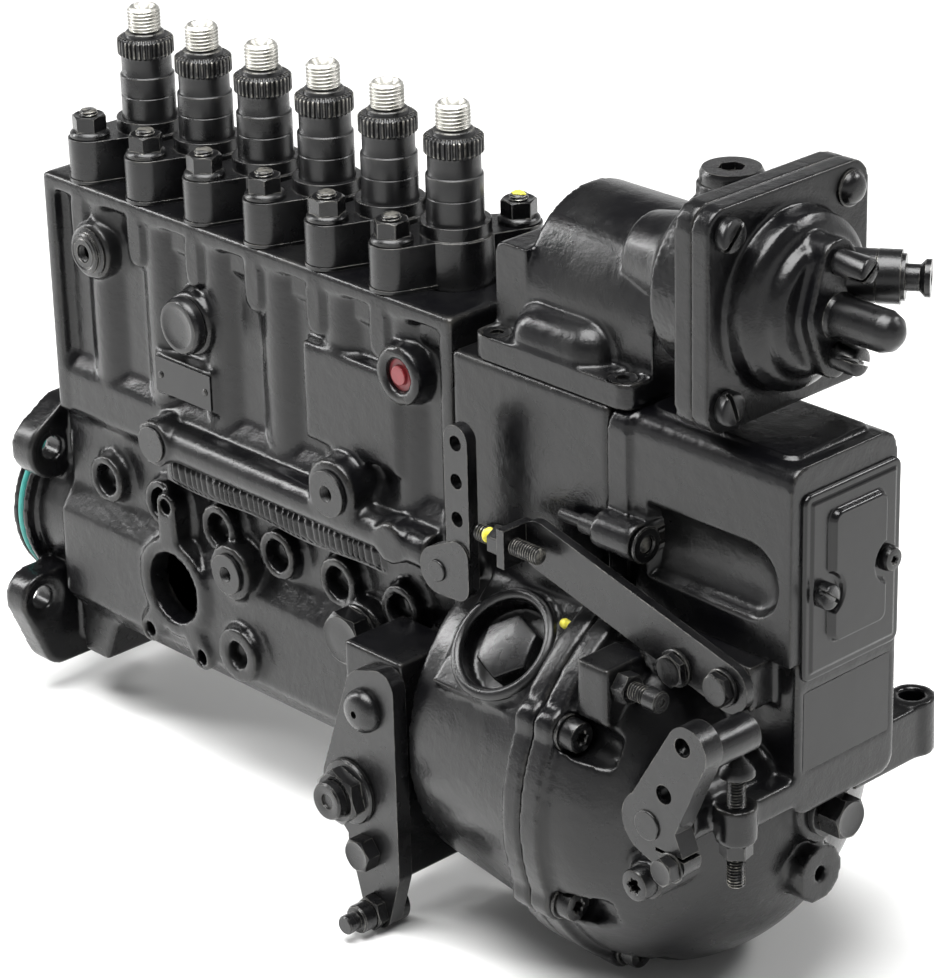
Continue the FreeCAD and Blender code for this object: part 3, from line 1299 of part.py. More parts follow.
# Governor moving parts: carrier and flyweights on the camshaft, and the sliding bolt.
def makeGovernorParts():
    weightX = dim.hub_start + dim.weight_offset
    rodRadius = dim.journal_radius - 7.5
    discStart = dim.hub_start + 3
    nutFoot = dim.rod_half - dim.rod_nut_height
    disc = cylinder(
        "CarrierDisc", "X", discStart, discStart + dim.carrier_disc, (0, 0), dim.carrier_radius)
    sleeve = cylinder("CarrierHub", "X", discStart, hubEnd, (0, 0), dim.carrier_hub)
    rods = cylinder("CarrierRods", "Z", -dim.rod_half + 1, dim.rod_half - 1, (weightX, 0), rodRadius)
    nutUp = cylinder("UpperSpringNut", "Z", nutFoot, dim.rod_half, (weightX, 0), dim.rod_nut)
    nutDown = cylinder("LowerSpringNut", "Z", -dim.rod_half, -nutFoot, (weightX, 0), dim.rod_nut)
    blank = fuse("CarrierBlank", disc, sleeve, rods, nutUp, nutDown)
    bore = cylinder("CarrierBore", "X", dim.hub_start, camshaftTail, (0, 0), dim.journal_radius)
    guide = cylinder(
        "BoltGuide", "X", camshaftTail + 3, hubEnd + 1, (0, 0), dim.bolt_radius + dim.running_gap)
    keep("flyweight_carrier", cut("FlyweightCarrier", blank, bore, guide))
    for name, low, high in (
        ("upper", dim.weight_low, dim.weight_high), ("lower", -dim.weight_high, -dim.weight_low),
    ):
        weight = cylinder(f"Weight{name}", "Z", low, high, (weightX, 0), dim.weight_radius)
        hole = cylinder(
            f"WeightBore{name}", "Z", low - 1, high + 1, (weightX, 0), rodRadius + dim.running_gap)
        keep(f"flyweight_{name}", cut(f"Flyweight{name}", weight, hole))
    collar = hubEnd + 20
    collarEnd = collar + dim.bolt_collar_width
    keep("sliding_bolt", turned("SlidingBolt", "X", (0, 0), [
        (camshaftTail + 6, 0), (camshaftTail + 6, dim.bolt_radius), (collar, dim.bolt_radius),
        (collar, dim.bolt_collar), (collarEnd, dim.bolt_collar), (collarEnd, dim.bolt_radius),
        (collarEnd + 6, dim.bolt_radius), (collarEnd + 6, 0),
    ]))


# Throttle lever with its shaft and the two stop screws that limit it.
def makeThrottle():
    tilt = math.radians(dim.lever_tilt.number)
    face, back = dim.lever_face, dim.lever_face + dim.lever_thickness
    topX = dim.lever_x + dim.lever_reach * math.sin(tilt)
    topZ = dim.lever_z + dim.lever_reach * math.cos(tilt)
    midX = dim.lever_x + dim.lever_reach * 0.42 * math.sin(tilt)
    midZ = dim.lever_z + dim.lever_reach * 0.42 * math.cos(tilt)
    arm = banded("LeverArm", "Y", face, back, [
        (dim.lever_x, dim.lever_z, dim.lever_hub - 1), (topX, topZ, 9.5),
    ])
    clamp = banded("LeverClamp", "Y", face, back, [
        (dim.lever_x, dim.lever_z, dim.lever_hub), (dim.lever_x + 12, dim.lever_z - 11, 6.5),
    ])
    lugX, lugZ = dim.idle_x, topZ - 3
    horn = banded("LeverHorn", "Y", face, back, [(topX, topZ, 9.5), (lugX, lugZ, 7.5)])
    lug = cylinder("LeverLug", "Y", back - 1, dim.idle_y + 5, (lugX, lugZ), 7.5)
    blank = fuse("LeverBlank", arm, clamp, horn, lug)
    tools = [
        cylinder("LeverShaftHole", "Y", face - 1, back + 1, (dim.lever_x, dim.lever_z),
                 dim.shaft_lever_radius),
        cylinder("LeverTopHole", "Y", face - 1, back + 1, (topX - 2, topZ + 1), 3.8),
        cylinder("LeverMidHole", "Y", face - 1, back + 1, (midX, midZ), 3.8),
        box("LeverSlit", (dim.lever_x + 4, face - 1, dim.lever_z - 9),
            (dim.lever_x + 20, back + 1, dim.lever_z - 7.5)),
    ]
    keep("throttle_lever", cut("ThrottleLever", blank, *tools))
    keep("throttle_shaft", cylinder(
        "ThrottleShaft", "Y", face - 1, -dim.neck_half, (dim.lever_x, dim.lever_z),
        dim.shaft_lever_radius,
    ))
    keep("lever_clamp_bolt", fuse(
        "LeverClampBolt",
        hexagon("ClampBoltHead", "Y", face - 6, face, (dim.lever_x + 12, dim.lever_z - 13), 10),
        cylinder("ClampBoltWasher", "Y", face - 1, face, (dim.lever_x + 12, dim.lever_z - 13), 6),
    ))
    idleTop = lugZ - 7.5 - dim.seat_gap
    idle = fuse(
        "IdleScrew",
        cylinder("IdleThread", "Z", dim.neck_bottom - 16, idleTop - 5, (dim.idle_x, dim.idle_y),
                 dim.screw_radius),
        cone("IdleCone", "Z", idleTop - 9, idleTop, (dim.idle_x, dim.idle_y), 7, 2.5),
    )
    idleNut = cut(
        "IdleNut",
        hexagon("IdleNutHex", "Z", dim.neck_bottom - 3, dim.neck_bottom + 3,
                (dim.idle_x, dim.idle_y), 11),
        cylinder("IdleNutHole", "Z", dim.neck_bottom - 4, dim.neck_bottom + 4,
                 (dim.idle_x, dim.idle_y), dim.screw_radius),
    )
    blockEnd = dim.bell_end + dim.rim_width + 20
    limit = cylinder("LimitScrew", "X", dim.limit_x - 12, dim.limit_x + dim.limit_reach,
                     (dim.idle_y, dim.limit_z), dim.screw_radius)
    limitNut = cut(
        "LimitNut",
        hexagon("LimitNutHex", "X", blockEnd, blockEnd + 6, (dim.idle_y, dim.limit_z), 11),
        cylinder("LimitNutHole", "X", blockEnd - 1, blockEnd + 7, (dim.idle_y, dim.limit_z),
                 dim.screw_radius),
    )
    group("stop_screws", idle, idleNut, limit, limitNut)


# Shut-off lever: a drilled strip over a clamped hub, with its shaft.
def makeShutOff():
    face, back = dim.stop_face, dim.stop_face + dim.stop_thickness
    stripX = dim.stop_x + 11
    topZ = dim.stop_z + dim.stop_length
    strip = banded("StopStrip", "Y", face + 1, back, [
        (stripX, dim.stop_z + 9, dim.stop_width / 2), (stripX, topZ, dim.stop_width / 2),
    ])
    hub = banded("StopHub", "Y", face, back, [
        (dim.stop_x, dim.stop_z, dim.stop_hub), (stripX, dim.stop_z - 3, 6.5),
        (stripX, dim.stop_z + 9, dim.stop_width / 2),
    ])
    blank = fuse("StopBlank", strip, hub)
    tools = [cylinder(
        "StopShaftHole", "Y", face - 1, back + 1, (dim.stop_x, dim.stop_z), dim.stop_shaft,
    )]
    for index, drop in enumerate((1, 17, 33)):
        tools.append(cylinder(
            f"StopHole{index}", "Y", face - 1, back + 1, (stripX, topZ - drop), dim.lever_hole,
        ))
    keep("shutoff_lever", cut("ShutoffLever", blank, *tools))
    keep("shutoff_shaft", cylinder(
        "ShutoffShaft", "Y", face - 1, stopShaftEnd, (dim.stop_x, dim.stop_z),
        dim.stop_shaft,
    ))


# Stop bracket bar with the screw that limits the shut-off lever.
def makeStopBracket():
    face, back = dim.bar_y, dim.bar_y + dim.bar_thickness
    half = dim.bar_height / 2
    leftX, leftZ = dim.stop_x + dim.bracket_left, dim.bar_z + dim.bracket_rise
    rightX = dim.bar_screw_x + dim.bar_screw_pitch + 2
    bar = banded("BarBlank", "Y", face, back, [
        (leftX, leftZ, half), (rightX, dim.bar_z, half),
    ])
    tab = box("BarTab", (leftX - half, face - 12, leftZ - half + 2),
              (leftX - half + 4, back, leftZ + half - 2))
    tools = [cylinder(
        f"BarHole{index}", "Y", face - 1, back + 1,
        (dim.bar_screw_x + dim.bar_screw_pitch * index, dim.bar_z), 4.2,
    ) for index in range(2)]
    screwY = face - 6
    tools.append(cylinder(
        "TabHole", "X", leftX - half - 1, leftX - half + 5, (screwY, leftZ), dim.screw_radius,
    ))
    keep("stop_bracket", cut("StopBracket", fuse("BracketBlank", bar, tab), *tools))
    screw = cylinder(
        "StopScrew", "X", leftX - half - dim.stop_screw_back, leftX - half + dim.stop_screw_reach,
        (screwY, leftZ), dim.screw_radius,
    )
    nut = cut(
        "StopNut",
        hexagon("StopNutHex", "X", leftX - half - 6, leftX - half, (screwY, leftZ), 11),
        cylinder("StopNutHole", "X", leftX - half - 7, leftX - half + 1, (screwY, leftZ),
                 dim.screw_radius),
    )
    outerScrews.extend([screw, nut])
    for index in range(2):
        place = (dim.bar_screw_x + dim.bar_screw_pitch * index, dim.bar_z)
        outerScrews.append(fuse(
            f"BarScrew{index}",
            cylinder(f"BarWasher{index}", "Y", face - 1.6, face, place, 7.5),
            hexagon(f"BarHead{index}", "Y", face - 4.8, face - 1.6, place, 12),
        ))


# Support bracket on the lower front: plate, spacer block and its fasteners.
def makeSupport():
    face, back = dim.support_face, dim.support_face + dim.support_thickness
    right = dim.support_right
    corner = dim.support_edge
    places = [
        (right - dim.support_dome_x, dim.support_dome_z),
        (right - dim.support_stud_x, dim.support_stud_z),
        (right - dim.support_bolt_x, dim.support_bolt_z),
        (right - dim.support_pin_x, dim.support_pin_z),
    ]
    upper = banded("SupportUpper", "Y", face, back, [
        (right - dim.support_dome_x, dim.support_dome_z + 6, 11),
        (right - corner, dim.support_dome_z + 12, corner),
        (right - corner, dim.support_waist_z, corner),
        (right - dim.support_stud_x, dim.support_stud_z, 17),
    ])
    lower = banded("SupportLower", "Y", face, back, [
        (right - dim.support_bolt_x, dim.support_bolt_z + 2, 12),
        (right - corner, dim.support_waist_z, corner),
        (right - dim.support_pin_x, dim.support_pin_z, corner),
    ])
    blank = fuse("SupportBlank", upper, lower)
    tools = [
        cylinder(f"SupportHole{index}", "Y", face - 1, back + 1, place, dim.support_hole)
        for index, place in enumerate(places)
    ]
    keep("support_bracket", cut("SupportBracket", blank, *tools))
    block = box("SpacerBlank", (dim.block_left, back, dim.block_bottom),
                (right - 3, -dim.lower_half, dim.block_top))
    blockTools = [
        cylinder(f"BlockHole{index}", "Y", back - 1, -dim.lower_half + 1, place, dim.support_hole)
        for index, place in enumerate(places[:3])
    ]
    keep("spacer_block", cut("SpacerBlock", block, *blockTools))
    radius = dim.support_hole
    dome = fuse(
        "DomeScrew",
        cylinder("DomeScrewShank", "Y", face - 2, -dim.lower_half, places[0], radius),
        turned("DomeScrewHead", "Y", places[0], [
            (face, 0), (face, 9), (face - 3, 9), (face - 6, 5), (face - 6, 0),
        ]),
    )
    stud = fuse(
        "SupportStud",
        cylinder("SupportStudShank", "Y", face - 12, -dim.lower_half, places[1], radius),
        cylinder("FlangeNutSkirt", "Y", face - 3, face, places[1], 14),
        hexagon("FlangeNutHex", "Y", face - 9, face - 3, places[1], 21),
        cylinder("StudCap", "Y", face - 14, face - 9, places[1], 8),
    )
    bolt = fuse(
        "SupportBolt",
        cylinder("SupportBoltShank", "Y", face - 2, -dim.lower_half, places[2], radius),
        hexagon("SupportBoltHead", "Y", face - 7, face, places[2], 13),
    )
    pin = fuse(
        "SteppedStud",
        cylinder("SteppedShank", "Y", face - 12, back + 3, places[3], radius),
        hexagon("SteppedHex", "Y", face - 5, face, places[3], 13),
        cylinder("SteppedEnd", "Y", face - 18, face - 11, places[3], 4),
        cylinder("SteppedHead", "Y", back, back + 4, places[3], 8),
    )
    outerScrews.extend([dome, stud, bolt, pin])


# Screws of the governor cover, spring box, access plate, drain and side screw.
def makeCoverFasteners():
    rimEnd = dim.bell_end + dim.rim_width
    for index, place in enumerate(coverBoltPlaces()):
        outerScrews.append(fuse(
            f"CoverBolt{index}",
            cylinder(f"CoverWasher{index}", "X", rimEnd, rimEnd + 1.5, place, 7.5),
            cylinder(f"CoverHead{index}", "X", rimEnd + 1.5, rimEnd + 8, place, 6.3),
        ))
    plateFace = dim.spring_end + dim.plate_thickness
    outerScrews.append(cylinder("SlottedScrew", "X", plateFace, plateFace + 5, (-17, 106), 5))
    outerScrews.append(turned("DomedScrew", "X", (18, 109), [
        (plateFace, 0), (plateFace, 5), (plateFace + 2, 4.6), (plateFace + 4, 2), (plateFace + 4, 0),
    ]))
    outerScrews.append(fuse(
        "OilPlug",
        cylinder("OilPlugWasher", "X", dim.cover_end, dim.cover_end + 3, plugPlace, 10.5),
        hexagon("OilPlugHex", "X", dim.cover_end + 3, dim.cover_end + 13, plugPlace, 15),
    ))
    sideFace = sideBossFace
    outerScrews.append(cylinder("SideScrew", "Y", sideFace - 6, sideFace, sideScrewPlace, 6.5))
    springScrew = fuse(
        "SpringBoxScrew",
        cylinder("SpringBoxShank", "X", dim.spring_start - 24, dim.spring_start - 4,
                 (-dim.spring_half - 6.5, dim.spring_top - 48), 2.6),
        cylinder("SpringBoxNut", "X", dim.spring_start - 12, dim.spring_start - 4,
                 (-dim.spring_half - 6.5, dim.spring_top - 48), 4),
    )
    outerScrews.append(springScrew)
    group("outer_fasteners", *outerScrews)


# Boost compensator: housing on a base flange, cover with its fittings, and the push rod.
def makeCompensator():
    z = dim.boost_z
    plateStart = dim.boost_face - dim.boost_plate
    baseTop = dim.box_top + dim.base_thickness
    wall = -dim.boost_wall
    square = []
    for across, up in ((-1, -1), (1, -1), (1, 1), (-1, 1)):
        square.append((across * dim.boost_square, z + up * dim.boost_square, 9))
    archZ = dim.arch_top - dim.boost_radius
    archY = wall + dim.boost_radius
    arch = cut(
        "BoostArch",
        cylinder("ArchRound", "X", dim.boost_start, dim.boost_end, (archY, archZ), dim.boost_radius),
        box("ArchRear", (dim.boost_start - 1, dim.base_half, baseTop - 30),
            (dim.boost_end + 1, dim.base_half + 40, dim.arch_top + 1)),
        box("ArchBelow", (dim.boost_start - 1, wall - 1, archZ - 50),
            (dim.boost_end + 1, dim.base_half + 1, archZ)),
    )
    trunk = box("BoostTrunk", (dim.boost_start, wall, baseTop - 1),
                (dim.boost_end, dim.base_half, archZ + 1))
    shelf = prism("BoostShelf", "Y", wall, dim.base_half, [
        (dim.base_start + 1, baseTop - 1), (dim.boost_start + 1, baseTop - 1),
        (dim.boost_start + 1, dim.shelf_top), (dim.base_start + 1, dim.shelf_top, 4),
    ])
    drum = turned("BoostDrum", "X", (0, z), [
        (dim.boost_end - 20, 0), (dim.boost_end - 20, 16), (dim.boost_end, 20),
        (dim.boost_end + 6, 24), (dim.boost_end + 14, dim.boost_radius),
        (plateStart + 1, dim.boost_radius), (plateStart + 1, 0),
    ])
    base = prism("BoostBase", "Z", dim.box_top, baseTop, [
        (dim.base_start, -dim.base_half, 6), (dim.base_end, -dim.base_half, 6),
        (dim.base_end, dim.base_half, 6), (dim.base_start, dim.base_half, 6),
    ])
    pillowEnds = (dim.base_start + 27, dim.base_start + 52)
    pillowPlace = (wall, baseTop + 2)
    pillow = [cylinder("Pillow", "X", pillowEnds[0], pillowEnds[1], pillowPlace, 12)]
    for index, x in enumerate(pillowEnds):
        pillow.append(ball(f"PillowEnd{index}", (x, wall, baseTop + 2), 12))
    pillowFoot = box("PillowFoot", (dim.base_start, wall - 14, dim.box_top - 20),
                     (dim.base_end, wall + 14, baseTop - 1))
    hood = cut("PillowHood", fuse("PillowBlank", *pillow), pillowFoot)
    backPlate = prism("BoostBackPlate", "X", plateStart, dim.boost_face, square)
    ventBoss = cylinder("VentBoss", "Z", z + 20, dim.vent_top, (plateStart - 12, 0), 13)
    casting = fuse(
        "BoostCasting", arch, trunk, shelf, drum, base, hood, backPlate, ventBoss,
    )
    rodBore = dim.rod_radius + dim.running_gap
    tools = [
        cylinder("BoostRodBore", "X", dim.boost_start + 14, plateStart + 1, (0, z), rodBore),
        cylinder("BoostChamber", "X", plateStart - dim.rod_travel - 6, dim.boost_face + 1,
                 (0, z), dim.diaphragm_radius),
        cylinder("BaseRodBore", "Z", dim.box_top - 1, z - 1, (dim.boost_start + 28, 0),
                 dim.rod_radius - 1),
    ]
    for index, place in enumerate(baseScrewPlaces()):
        tools.append(cylinder(f"BaseScrewSeat{index}", "Z", baseTop - 3, baseTop + 10, place, 6))
    keep("compensator_housing", cut("CompensatorHousing", casting, *tools))

    face, outer = dim.boost_face, dim.boost_face + dim.boost_plate
    coverPlate = prism("BoostCoverPlate", "X", face, outer, square)
    steps = turned("BoostSteps", "X", (0, z), [
        (outer - 1, 0), (outer - 1, 34.5), (outer + 8, 33.5), (outer + 11, 30),
        (outer + 12, 26.5), (outer + 16, 25.5), (outer + 18, 23), (outer + 18, 0),
    ])
    noseFace = outer + dim.nose_length
    nose = banded("BoostNose", "X", outer + 10, noseFace, [
        (0, z + 19, 9), (-2, z, 13), (0, z - 16, 9), (6, z, 13),
    ])
    cavity = cylinder("CoverCavity", "X", face - 1, face + 10, (0, z), dim.diaphragm_radius - 3)
    coverCast = fuse("BoostCoverCasting", coverPlate, steps, nose)
    keep("compensator_cover", cut("CompensatorCover", coverCast, cavity))

    discStart = dim.boost_face - 2
    keep("boost_push_rod", turned("BoostPushRod", "X", (0, z), [
        (dim.boost_start + 26, 0), (dim.boost_start + 26, dim.rod_radius),
        (discStart, dim.rod_radius), (discStart, dim.diaphragm_radius - 5),
        (discStart + 3, dim.diaphragm_radius - 5), (discStart + 3, 8), (discStart + 7, 8),
        (discStart + 7, 0),
    ]))
    fittings = [turned("DomedCap", "X", (0, z - 1), [
        (noseFace, 0), (noseFace, 9), (noseFace + 2, 8), (noseFace + 22, 8), (noseFace + 26, 6.5),
        (noseFace + 28.5, 3.5), (noseFace + 29.5, 0),
    ])]
    fittings.append(cylinder("UpperNosePlug", "X", noseFace, noseFace + 15, (0, z + 19.6), 5))
    fittings.append(cylinder("LowerNosePlug", "X", noseFace, noseFace + 11.5, (0, z - 16), 5.4))
    for index, (across, up) in enumerate(((-1, -1), (1, -1), (1, 1), (-1, 1))):
        fittings.append(turned(
            f"BoostScrew{index}", "X",
            (across * dim.boost_screw, z + up * dim.boost_screw),
            [(outer, 0), (outer, 6.5), (outer + 2, 6.5), (outer + 4.5, 4.8), (outer + 4.5, 0)],
        ))
    for index, place in enumerate(baseScrewPlaces()):
        fittings.append(cut(
            f"BaseScrew{index}",
            cylinder(f"BaseScrewHead{index}", "Z", baseTop - 3, baseTop - 0.5, place, 5.7),
            hexagon(f"BaseScrewSocket{index}", "Z", baseTop - 2, baseTop, place, 5),
        ))
    fittings.append(cut(
        "VentPlug",
        turned("VentPlugDisc", "Z", (plateStart - 12, 0), [
            (dim.vent_top, 0), (dim.vent_top, 12), (dim.vent_top + 3, 12), (dim.vent_top + 5, 11),
            (dim.vent_top + 5, 0),
        ]),
        hexagon("VentSocket", "Z", dim.vent_top + 2, dim.vent_top + 6, (plateStart - 12, 0), 9),
    ))
    stubX, stubY, stubZ = noseFace + 11, 23.5, z + 10
    hose = doc.addObject("PartDesign::Body", "HoseFitting")
    sketch = newSketch(hose, "XZ_Plane")
    stubRadius, stubTip = dim.stub_radius, dim.stub_length
    drawOutline(sketch, [
        (2.6, stubTip), (2.6, -4), (0, -4), (0, -20), (6, -20), (6, -10), (10, -10),
        (10, -1.5), (8.6, -1.5), (8.6, 0),
        (stubRadius, 0), (stubRadius, stubTip - 4), (stubRadius + 2, stubTip - 2),
        (stubRadius + 2, stubTip),
    ])
    turn = hose.newObject("PartDesign::Revolution", "HoseFittingTurned")
    turn.Profile = sketch
    turn.ReferenceAxis = (sketch, ["V_Axis"])
    turn.Angle = 360
    hose.Tip = turn
    put(hose, (stubX, stubY, stubZ), Rotation(Vector(0, 0, 1), dim.stub_angle.number) * axisTurn["X"])
    noseSpace = doc.addObject("Part::Compound", "NoseSpace")
    noseSpace.Links = [nose, steps]
    fittings.append(cut("HoseStub", hose, noseSpace))
    group("compensator_fittings", *fittings)


def baseScrewPlaces():
    return [
        (dim.base_start + 8, -dim.base_half + 6.5), (dim.base_end - 9, -dim.base_half + 6.5),
    ]


makePumpHousing()
makeDriveEndCover()
makeCamshaft()
makeBearings()
for index, x in enumerate(elementX):
    makeElement(index, x)
makeElementGroups()
makeControlRack()
makeHousingTrim()
makeGovernorHousing()
makeGovernorCover()
makeSpringBox()
makeGovernorParts()
makeThrottle()
makeShutOff()
makeStopBracket()
makeSupport()
makeCoverFasteners()
makeCompensator()
doc.recompute()

for obj in doc.Objects:
    if "Invalid" in obj.State or "Error" in obj.State:
        raise RuntimeError(f"{obj.Name} failed: {obj.State}")
for piece in pieces:
    if not piece.Shape.Solids or not piece.Shape.isValid():
        raise RuntimeError(f"{piece.Label} has no sound shape")
for piece in pieces:
    piece.Shape.exportStep(f"parts/{piece.Label}.step")
print(len(pieces), "nodes written")
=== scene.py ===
import math

import bmesh
import bpy
import numpy as np
from mathutils import Matrix, Vector


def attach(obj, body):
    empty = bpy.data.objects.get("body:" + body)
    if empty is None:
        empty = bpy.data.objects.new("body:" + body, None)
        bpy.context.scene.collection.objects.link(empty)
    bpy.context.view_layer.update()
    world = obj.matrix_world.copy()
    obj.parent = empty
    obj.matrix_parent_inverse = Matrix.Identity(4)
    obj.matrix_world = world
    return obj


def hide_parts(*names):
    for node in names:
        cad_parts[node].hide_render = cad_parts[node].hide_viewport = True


# Six-cylinder in-line injection pump, dressed over its CAD frame.
# Settings are in millimetres and become metres when a mesh is made.

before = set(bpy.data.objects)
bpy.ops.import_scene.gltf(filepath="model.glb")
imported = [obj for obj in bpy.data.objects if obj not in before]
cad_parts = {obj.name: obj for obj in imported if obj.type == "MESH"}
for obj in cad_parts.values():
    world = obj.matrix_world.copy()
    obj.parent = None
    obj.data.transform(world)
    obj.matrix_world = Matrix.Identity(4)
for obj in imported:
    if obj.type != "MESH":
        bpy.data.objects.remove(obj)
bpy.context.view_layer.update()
scene = bpy.context.scene
print("frame loaded with", len(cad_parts), "nodes")

cameraView = dict(
    place=(1258.025, -941.273, 698.977),
    right=(0.689455, 0.723912, -0.024561),
    down=(0.278529, -0.296267, -0.913590),
    ahead=(-0.668636, 0.623038, -0.405894),
    focal=3732.93,              # in pixels of the photograph
    middle=(465.77, 472.68),    # where the lens axis meets the photograph
    size=(934, 978),
)


def makeCamera(view):
    data = bpy.data.cameras.new("photoCamera")
    camera = bpy.data.objects.new("photoCamera", data)
    scene.collection.objects.link(camera)
    right, down, ahead = (Vector(view[key]).normalized() for key in ("right", "down", "ahead"))
    turn = Matrix((right, -down, -ahead)).transposed().to_4x4()
    camera.matrix_world = Matrix.Translation(Vector(view["place"]) / 1000) @ turn
    longSide = max(view["size"])
    data.sensor_width = 36
    data.lens = 36 * view["focal"] / longSide
    data.shift_x = (view["size"][0] / 2 - view["middle"][0]) / longSide
    data.shift_y = (view["middle"][1] - view["size"][1] / 2) / longSide
    data.clip_start, data.clip_end = 0.05, 20
    scene.camera = camera


makeCamera(cameraView)


# sRGB hex colour to the linear colour that a shader takes
def linear(code, alpha=1.0):
    parts = np.array([int(code[i:i + 2], 16) for i in (1, 3, 5)]) / 255
    bright = np.where(parts <= 0.04045, parts / 12.92, ((parts + 0.055) / 1.055) ** 2.4)
    return (*bright.tolist(), alpha)


# One node with its settings and links; a key is a socket's name or number, or a property.
def addNode(tree, kind, settings=None, links=None):
    node = tree.nodes.new(kind)
    for key, value in (settings or {}).items():
        if isinstance(key, int) or key in node.inputs:
            node.inputs[key].default_value = value
        else:
            setattr(node, key, value)
    for key, source in (links or {}).items():
        tree.links.new(source, node.inputs[key])
    return node


# An empty material, the tree that its nodes go into, and the place on the object.
def newMaterial(name):
    material = bpy.data.materials.new(name)
    material.use_nodes = True
    tree = material.node_tree
    tree.nodes.clear()
    return material, tree, addNode(tree, "ShaderNodeTexCoord").outputs["Object"]


# Cloudy pattern whose spots have a size in millimetres.
def clouds(tree, place, size, detail, rough=0.5):
    return addNode(tree, "ShaderNodeTexNoise", {
        "Scale": 1000 / size, "Detail": detail, "Roughness": rough,
    }, {"Vector": place}).outputs["Fac"]


# Normal of a skin that a pattern lifts, with the height of the lift in metres.
def bumped(tree, pattern, strength, lift, **under):
    return addNode(tree, "ShaderNodeBump", {"Strength": strength, "Distance": lift},
                   {"Height": pattern, **under}).outputs["Normal"]


# Two values taken together.
def combine(tree, operation, first, second):
    return addNode(tree, "ShaderNodeMath", {"operation": operation},
                   {0: first, 1: second}).outputs[0]


# A value that follows a pattern: low and high are each a pattern's value and what it gives.
def fade(tree, pattern, low, high):
    return addNode(tree, "ShaderNodeMapRange", {
        "From Min": low[0], "From Max": high[0], "To Min": low[1], "To Max": high[1],
    }, {"Value": pattern}).outputs[0]


# Two colours mixed by an amount; each is a colour or the socket of one.
def blend(tree, amount, first, second):
    settings = {"data_type": "RGBA"}
    links = {0: amount}
    for socket, value in ((6, first), (7, second)):
        if isinstance(value, tuple):
            settings[socket] = value
        else:
            links[socket] = value
    return addNode(tree, "ShaderNodeMix", settings, links).outputs[2]


# Where a piece shows wear and a painted highlight along its edges: on a dense casting from its
# own curvature, on plain hardware from how far a rounded normal leans away from the true one at an
# edge.
def wearAndGlintMask(tree, look):
    if look["dense"]:
        bend = addNode(tree, "ShaderNodeNewGeometry").outputs["Pointiness"]
    else:
        truth = addNode(tree, "ShaderNodeNewGeometry").outputs["Normal"]
        rounded = addNode(tree, "ShaderNodeBevel", {"samples": 4, "Radius": 0.0005}).outputs[0]
        bend = addNode(tree, "ShaderNodeVectorMath", {"operation": "DISTANCE"},
                       {0: truth, 1: rounded}).outputs["Value"]
    return fade(tree, bend, (look["rubAndGlintFrom"], 0.0), (look["rubAndGlintTo"], 1.0))


# Black enamel sprayed over a casting or a forging: a near-black satin skin that softens the
# sand grain under it, duller and dustier in patches, with light grey metal on its edges that is
# partly wear and partly a painted highlight.
def enamelOn(name, look):
    material, tree, place = newMaterial(name)
    grain = clouds(tree, place, look["grain"], 3.0, 0.6)
    peel = clouds(tree, place, look["peel"], 2.0)
    patch = clouds(tree, place, look["patch"], 4.0, 0.6)
    chips = clouds(tree, place, look["chip"], 3.0, 0.7)
    patchyWearAndGlint = fade(tree, chips, (0.42, 0.0), (0.62, look["rubAndGlint"]))
    rubbedAndGlint = combine(tree, "MULTIPLY", wearAndGlintMask(tree, look), patchyWearAndGlint)
    dull = blend(tree, fade(tree, patch, (0.38, 0.0), (0.72, 1.0)),
                 linear(look["colour"]), linear(look["dusty"]))
    # Light grey on the edges: partly wear, partly a painted highlight that stands in for edge
    # glints.
    colour = blend(tree, rubbedAndGlint, dull, linear(look["wornAndGlint"]))
    rough = fade(tree, patch, (0.3, look["rough"][0]), (0.72, look["rough"][1]))
    soft = bumped(tree, peel, look["wave"], 0.0012)
    fine = bumped(tree, grain, look["sand"], 0.0004, Normal=soft)
    shader = addNode(tree, "ShaderNodeBsdfPrincipled", {
        "Specular IOR Level": look["specular"], "Coat Weight": look["coat"],
        "Coat Roughness": look["coatRough"],
    }, {"Base Color": colour, "Roughness": rough, "Normal": fine, "Metallic": rubbedAndGlint})
    addNode(tree, "ShaderNodeOutputMaterial", {}, {"Surface": shader.outputs[0]})
    return material


# Each look's edge colour and its strength give wear and a painted highlight along the edges.
castEnamel = enamelOn("blackEnamelOnCasting", dict(
    colour="#08080a", dusty="#131313", wornAndGlint="#5c5a56", grain=1.0, peel=6, patch=34, chip=9,
    rough=(0.17, 0.36), wave=0.2, sand=0.24, rubAndGlint=0.7, rubAndGlintFrom=0.525, rubAndGlintTo=0.6, dense=True,
    specular=0.34, coat=0.08, coatRough=0.1,
))
steelEnamel = enamelOn("blackEnamelOnSteel", dict(
    colour="#0a0a0b", dusty="#151516", wornAndGlint="#8b8983", grain=0.5, peel=8, patch=22, chip=5,
    rough=(0.18, 0.36), wave=0.14, sand=0.22, rubAndGlint=0.8, rubAndGlintFrom=0.12, rubAndGlintTo=0.5, dense=False,
    specular=0.4, coat=0.12, coatRough=0.08,
))
holderEnamel = enamelOn("blackedSteelHolder", dict(
    colour="#0b0b0c", dusty="#19191a", wornAndGlint="#b0ada4", grain=0.4, peel=7, patch=18, chip=4,
    rough=(0.22, 0.42), wave=0.12, sand=0.25, rubAndGlint=0.95, rubAndGlintFrom=0.53, rubAndGlintTo=0.58, dense=True,
    specular=0.42, coat=0.12, coatRough=0.12,
))
plateEnamel = enamelOn("glossBlackPlate", dict(
    colour="#09090a", dusty="#111112", wornAndGlint="#5f5f61", grain=0.35, peel=14, patch=24, chip=6,
    rough=(0.14, 0.26), wave=0.12, sand=0.1, rubAndGlint=0.5, rubAndGlintFrom=0.12, rubAndGlintTo=0.5, dense=False,
    specular=0.34, coat=0.1, coatRough=0.06,
))


